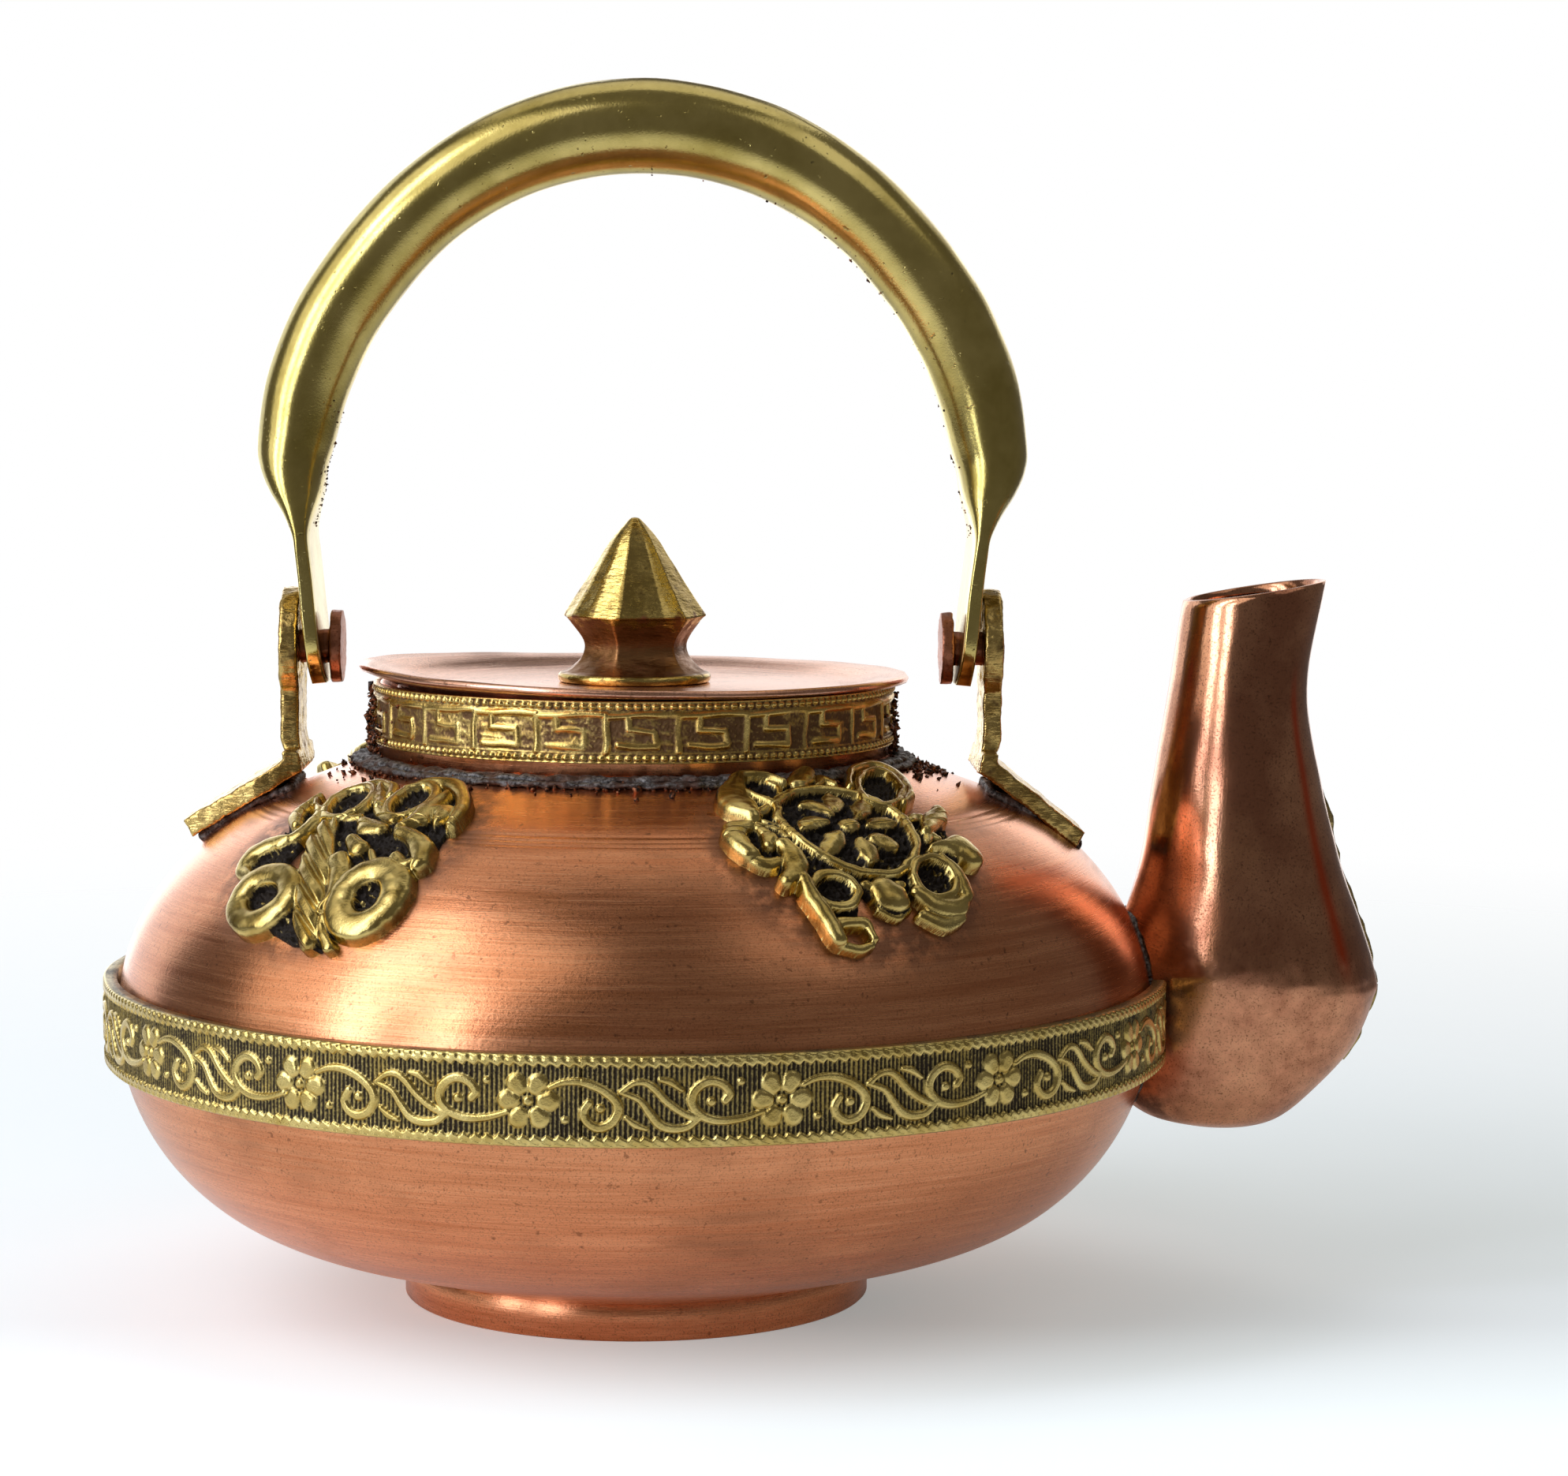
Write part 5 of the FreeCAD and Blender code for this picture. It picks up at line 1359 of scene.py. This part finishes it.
SCROLL_PARTS = [
    # the striped body comes first
    ([(-3.6, 0.6), (-2.2, -2.6), (0.2, -6.2), (2.6, -10.4), (4.0, -13.4), (6.0, -16.2)],
     (1.0, 1.9, 2.2, 2.0, 1.7, 1.2), 1.0),
    (loop(-4.8, -11.6, 4.1, 3.4, 5), (1.6,), 1.0), (loop(10.6, -9.8, 4.1, 3.4, 115), (1.75,), 0.98),
    ([(2.8, -5.0), (4.6, -6.8), (5.8, -9.6), (5.6, -12.0)], (1.3, 1.35, 1.0, 0.6), 0.9),
    ([(6.2, -13.0), (7.0, -14.6), (9.0, -16.6)], (0.5, 0.6, 0.7), 0.7),
    # left scrolls
    ([(-11.8, 5.6), (-11.9, 3.2), (-11.2, 1.0), (-9.2, -0.4)], (0.5, 0.8, 1.15, 0.8), 0.88),
    ([(-11.4, 4.8), (-9.8, 3.6), (-7.8, 2.4), (-6.6, 0.4), (-6.8, -2.0), (-8.6, -4.0)],
     (0.5, 0.5, 0.8, 1.0, 1.0, 0.7), 0.86),
    ([(-7.6, -3.2), (-10.2, -4.4), (-12.2, -6.2), (-11.6, -8.6), (-9.2, -9.4)],
     (0.7, 1.1, 1.35, 1.15, 0.7), 0.95),
    # two loops at the top and the ribbon round the right
    (loop(-5.4, 5.6, 4.3, 3.0, 116), (0.62,), 0.86), (loop(-5.3, 5.6, 3.2, 1.9, 116), (0.3,), 0.5),
    ([(-8.2, 8.8), (-5.6, 10.8), (-2.6, 10.6), (-0.8, 8.6)], (0.5, 0.8, 0.8, 0.6), 0.84),
    ([(-4.4, 10.2), (-2.4, 8.2), (-0.2, 5.8)], (0.5, 0.9, 0.7), 0.84),
    (loop(3.5, 7.6, 4.4, 2.7, 116), (0.6,), 0.86),
    ([(0.4, 10.2), (2.4, 12.6), (5.6, 12.6), (8.8, 10.2), (11.6, 6.6), (13.4, 2.4)],
     (0.6, 1.1, 1.1, 0.8, 0.9, 0.6), 0.9),
    ([(7.2, 9.6), (7.4, 6.4), (8.2, 3.0), (7.6, 0.8)], (0.5, 1.2, 1.5, 0.7), 0.96),
    ([(7.6, 5.4), (9.8, 5.6), (11.0, 3.4)], (1.0, 1.4, 0.7), 0.88),
    ([(8.2, 0.2), (10.6, -0.4), (12.8, -2.0), (14.4, -4.6)], (0.8, 1.0, 1.35, 1.0), 0.92),
    ([(10.6, -3.8), (12.4, -5.0), (13.4, -4.4)], (0.7, 1.1, 0.8), 0.9),
    # lumps of the middle
    ([(-3.2, 3.8), (-2.0, 2.4), (-0.6, 2.8)], (0.7, 1.0, 0.6), 0.74),
    ([(0.8, 4.8), (2.6, 4.0), (4.8, 3.0)], (0.7, 1.0, 0.8), 0.8),
    ([(0.9, 2.0), (2.6, 1.0), (4.6, 0.8)], (0.8, 1.4, 1.0), 0.84),
    ([(2.6, -1.8), (4.6, -3.0)], (0.9, 1.25), 0.92),
    ([(6.6, -3.2), (7.9, -4.8), (7.2, -6.4)], (0.4, 0.6), 0.7),
    ([(-0.9, 7.2), (-0.4, 6.4)], (0.6, 0.7), 0.8)]

MEDAL_THICKNESS = 2.3
MEDAL_HALF = 18.0
MEDAL_STEP = 0.145
MEDAL_GROUND = 0.55
MEDAL_CENTRE_RADIUS = 50.2
BURIED = -0.35


def medal_relief(parts, grounds, across, up, striped):
    """Height in millimetres of a casting over the shoulder, and how bright its skin is worn."""
    place = np.stack([across, up, up * 0], -1)
    wobble = 0.10 * ripple(place, 2.6, 6)
    ground = np.full(across.shape, -9.0)
    for line, widths in grounds:
        ground = np.maximum(ground, ridge(across, up, line, widths))
    rough = MEDAL_GROUND + 0.20 * ripple(place, 0.9, 7) + 0.14 * ripple(place, 0.5, 8)
    floor = np.where(ground > 0, rough, rough + ground * 9)
    height = floor.copy()
    for number, (line, widths, rise) in enumerate(parts):
        fullness = ridge(across + wobble, up - wobble, drawn(line), np.array(widths) * 1.08)
        top = rise * MEDAL_THICKNESS
        shoulder = max(top - 1.0 * max(widths), 0.42 * top)
        body = shoulder + (top - shoulder) * crown(fullness, 0.42)
        if striped and number == 0:
            stripes = np.clip(np.sin(2 * math.pi * (across * 0.55 + up * 0.85) / 2.0), 0, 1)
            body -= 0.7 * stripes * crown(fullness)
        height = np.maximum(height, np.where(fullness > 0, body, shoulder + fullness * 4.5))
    worn = smooth_step((height - MEDAL_GROUND - 0.45) / 0.8)
    outside = smooth_step((height - floor - 0.2) / 0.3) * np.where(ground < 0, 1.0, 0.0)
    glints = 0.5 * smooth_step(ripple(place, 0.8, 10) - 0.6)
    worn = np.maximum.reduce([worn, 0.55 * outside, glints])
    height += 0.02 * ripple(place, 1.3, 9) * (height > MEDAL_GROUND + 0.5)
    return height, worn


def make_medal(name, azimuth, parts, grounds, striped, node_name):
    """A casting bent to the shoulder, cut from a fine grid where it has thickness."""
    count = int(2 * MEDAL_HALF / MEDAL_STEP)
    line = np.linspace(-MEDAL_HALF, MEDAL_HALF, count)
    across, up = np.meshgrid(line, line, indexing="ij")
    height, worn = medal_relief(parts, grounds, across, up, striped)
    centre_length = np.interp(MEDAL_CENTRE_RADIUS, DOME_OUTLINE[::-1, 0], DOME_LENGTHS[::-1])
    length = centre_length + up
    radius = np.interp(length, DOME_LENGTHS, DOME_OUTLINE[:, 0])
    turn = math.radians(azimuth) + across / radius
    points = on_dome(length, turn, np.maximum(height, BURIED))
    keep = height > BURIED
    corners = np.array(grid_faces(count, count))
    faces = corners[keep.ravel()[corners].any(1)]
    used, faces = np.unique(faces, return_inverse=True)
    points = points.reshape(-1, 3)[used]
    add_piece(name, points, faces.reshape(-1, 4).tolist(), BRASS_MEDAL, "pot", [node_name],
              worn.ravel()[used])


def make_medals():
    wheel = WHEEL_PARTS + [(petal, (0.55, 1.35, 1.4, 0.7), 0.76) for petal in WHEEL_PETALS]
    for place in MEDAL_PLACES:
        node_name = "medallion_" + place
        centre = node_centre(node_name)
        azimuth = math.degrees(math.atan2(centre[1], centre[0]))
        if place in ("front_left", "back_right"):
            make_medal("medal_" + place, azimuth, SCROLL_PARTS, SCROLL_GROUND, True, node_name)
        else:
            make_medal("medal_" + place, azimuth, wheel, WHEEL_GROUND, False, node_name)


make_belly_band()
make_neck_band()
make_medals()


# ---------------------------------------------------------------- floor, light and camera

def direction(azimuth, elevation):
    """Unit vector; azimuth 0 is in front of the pot, on its -Y side, and 90 is at the spout."""
    turn, rise = math.radians(azimuth), math.radians(elevation)
    return Vector((math.sin(turn) * math.cos(rise), -math.cos(turn) * math.cos(rise), math.sin(rise)))


LIGHTS_FACE = Vector((0.0, 0.0, 0.06))


def soft_light(name, azimuth, elevation, distance, width, height, strength, colour):
    """A softbox that faces the pot. Strength is its brightness, whatever its size."""
    light = bpy.data.lights.new(name, "AREA")
    light.shape = "RECTANGLE"
    light.size = width
    light.size_y = height
    light.energy = strength * width * height * math.pi
    light.color = colour
    lamp = add_object(name, light)
    towards = direction(azimuth, elevation)
    lamp.location = LIGHTS_FACE + towards * distance
    lamp.rotation_euler = towards.to_track_quat("Z", "Y").to_euler()
    lamp.visible_camera = False


# how strongly the paper floor glows with painted light: where it is looked at directly, in
# front of the pot and from beside it on, with the depths between which that changes, and where
# it is seen in the metal
FRONT_LIFT = 0.55
BACK_LIFT = 0.29
FRONT_DEPTH = -0.07
BACK_DEPTH = -0.02
GLOSSY_LIFT = 0.11
# distances between which the floor fades out
FADE_START = 0.16
FADE_END = 0.50


def make_floor():
    """White disc with a painted glow, that fades out to the white surround before its edge."""
    material, tree = new_material("white_floor")
    place = here(tree)
    distance = node(tree, "VectorMath", {0: place}, operation="LENGTH").outputs["Value"]
    paper = blend(tree, noise(tree, 40.0), (0.93, 0.93, 0.93), (0.95, 0.95, 0.95))
    white = node(tree, "BsdfDiffuse", {"Color": paper}).outputs[0]
    clear = node(tree, "BsdfTransparent").outputs[0]
    rays = node(tree, "LightPath").outputs
    depth = node(tree, "SeparateXYZ", {0: place}).outputs[1]
    direct = fade(tree, depth, FRONT_DEPTH, BACK_DEPTH, FRONT_LIFT, BACK_LIFT)
    mirrored = times(tree, rays["Is Glossy Ray"], GLOSSY_LIFT)
    glow = add(tree, times(tree, rays["Is Camera Ray"], direct), mirrored)
    lift = node(tree, "Emission", {"Color": (0.86, 1.0, 1.0, 1.0), "Strength": glow}).outputs[0]
    lit = node(tree, "AddShader", {0: white, 1: lift}).outputs[0]
    gone = fade(tree, distance, FADE_START, FADE_END)
    mixed = node(tree, "MixShader", {0: gone, 1: lit, 2: clear}).outputs[0]
    output = node(tree, "OutputMaterial")
    tree.links.new(mixed, output.inputs["Surface"])
    mesh = bpy.data.meshes.new("floor")
    turn = np.linspace(0, 2 * math.pi, 96, endpoint=False)
    mesh.from_pydata([(math.cos(a), math.sin(a), 0.0) for a in turn], [], [list(range(len(turn)))])
    mesh.materials.append(material)
    floor = add_object("floor", mesh)


def make_surround():
    """White where the camera looks past the pot, and a dim studio for everything else."""
    world = bpy.data.worlds.new("studio")
    bpy.context.scene.world = world
    world.use_nodes = True
    tree = world.node_tree
    tree.nodes.clear()
    dim = node(tree, "Background", {"Color": (1.0, 0.95, 0.91, 1.0), "Strength": 0.125}).outputs[0]
    white = node(tree, "Background", {"Color": (1.0, 1.0, 1.0, 1.0), "Strength": 1.0}).outputs[0]
    seen = node(tree, "LightPath").outputs["Is Camera Ray"]
    mixed = node(tree, "MixShader", {0: seen, 1: dim, 2: white}).outputs[0]
    output = node(tree, "OutputWorld")
    tree.links.new(mixed, output.inputs["Surface"])


WHITE = (1.0, 1.0, 1.0)
COOL = (0.88, 0.97, 1.22)
# name, azimuth and elevation in degrees, distance, width, height, strength and colour
LIGHTS = [
    ("key", -62, 28, 0.75, 0.16, 0.88, 4.1, COOL),
    ("key_front", -41, 14, 0.75, 0.14, 0.55, 3.7, COOL),
    ("key_spill", -62, 36, 0.80, 0.95, 0.95, 0.95, WHITE),
    ("right_fill", 66, 56, 0.90, 0.5, 0.4, 0.5, WHITE),
    ("back_left", -150, 12, 0.9, 0.8, 0.9, 1.0, (0.94, 1.0, 1.1)),
    ("back_right", 150, 25, 0.9, 0.45, 0.45, 0.6, WHITE),
    ("backdrop", 180, 6, 0.9, 1.0, 0.6, 1.1, WHITE),
    ("ceiling", 180, 68, 0.9, 0.8, 0.6, 0.6, WHITE)]


# the camera's place in metres, its lens, and in radians how far it turns right, looks down and rolls
CAMERA_PLACE = (0.0065, -0.5, 0.11746)
CAMERA_LENS = 89.75
CAMERA_TURN = 0.02443
CAMERA_DOWN = 0.09147
CAMERA_ROLL = 0.0061


def make_camera():
    """Looks at the pot from half a metre, a little from above."""
    camera = bpy.data.cameras.new("camera")
    camera.sensor_width = 36.0
    camera.lens = CAMERA_LENS
    camera.clip_start = 0.01
    holder = add_object("camera", camera)
    level = math.cos(CAMERA_DOWN)
    forward = Vector((math.sin(CAMERA_TURN) * level, math.cos(CAMERA_TURN) * level, -math.sin(CAMERA_DOWN)))
    facing = forward.to_track_quat("-Z", "Y").to_matrix().to_4x4()
    rolled = facing @ Matrix.Rotation(CAMERA_ROLL, 4, "Z")
    holder.matrix_world = Matrix.Translation(CAMERA_PLACE) @ rolled
    bpy.context.scene.camera = holder


make_floor()
make_surround()
for light in LIGHTS:
    soft_light(*light)
make_camera()
bpy.context.scene.view_settings.view_transform = "Standard"
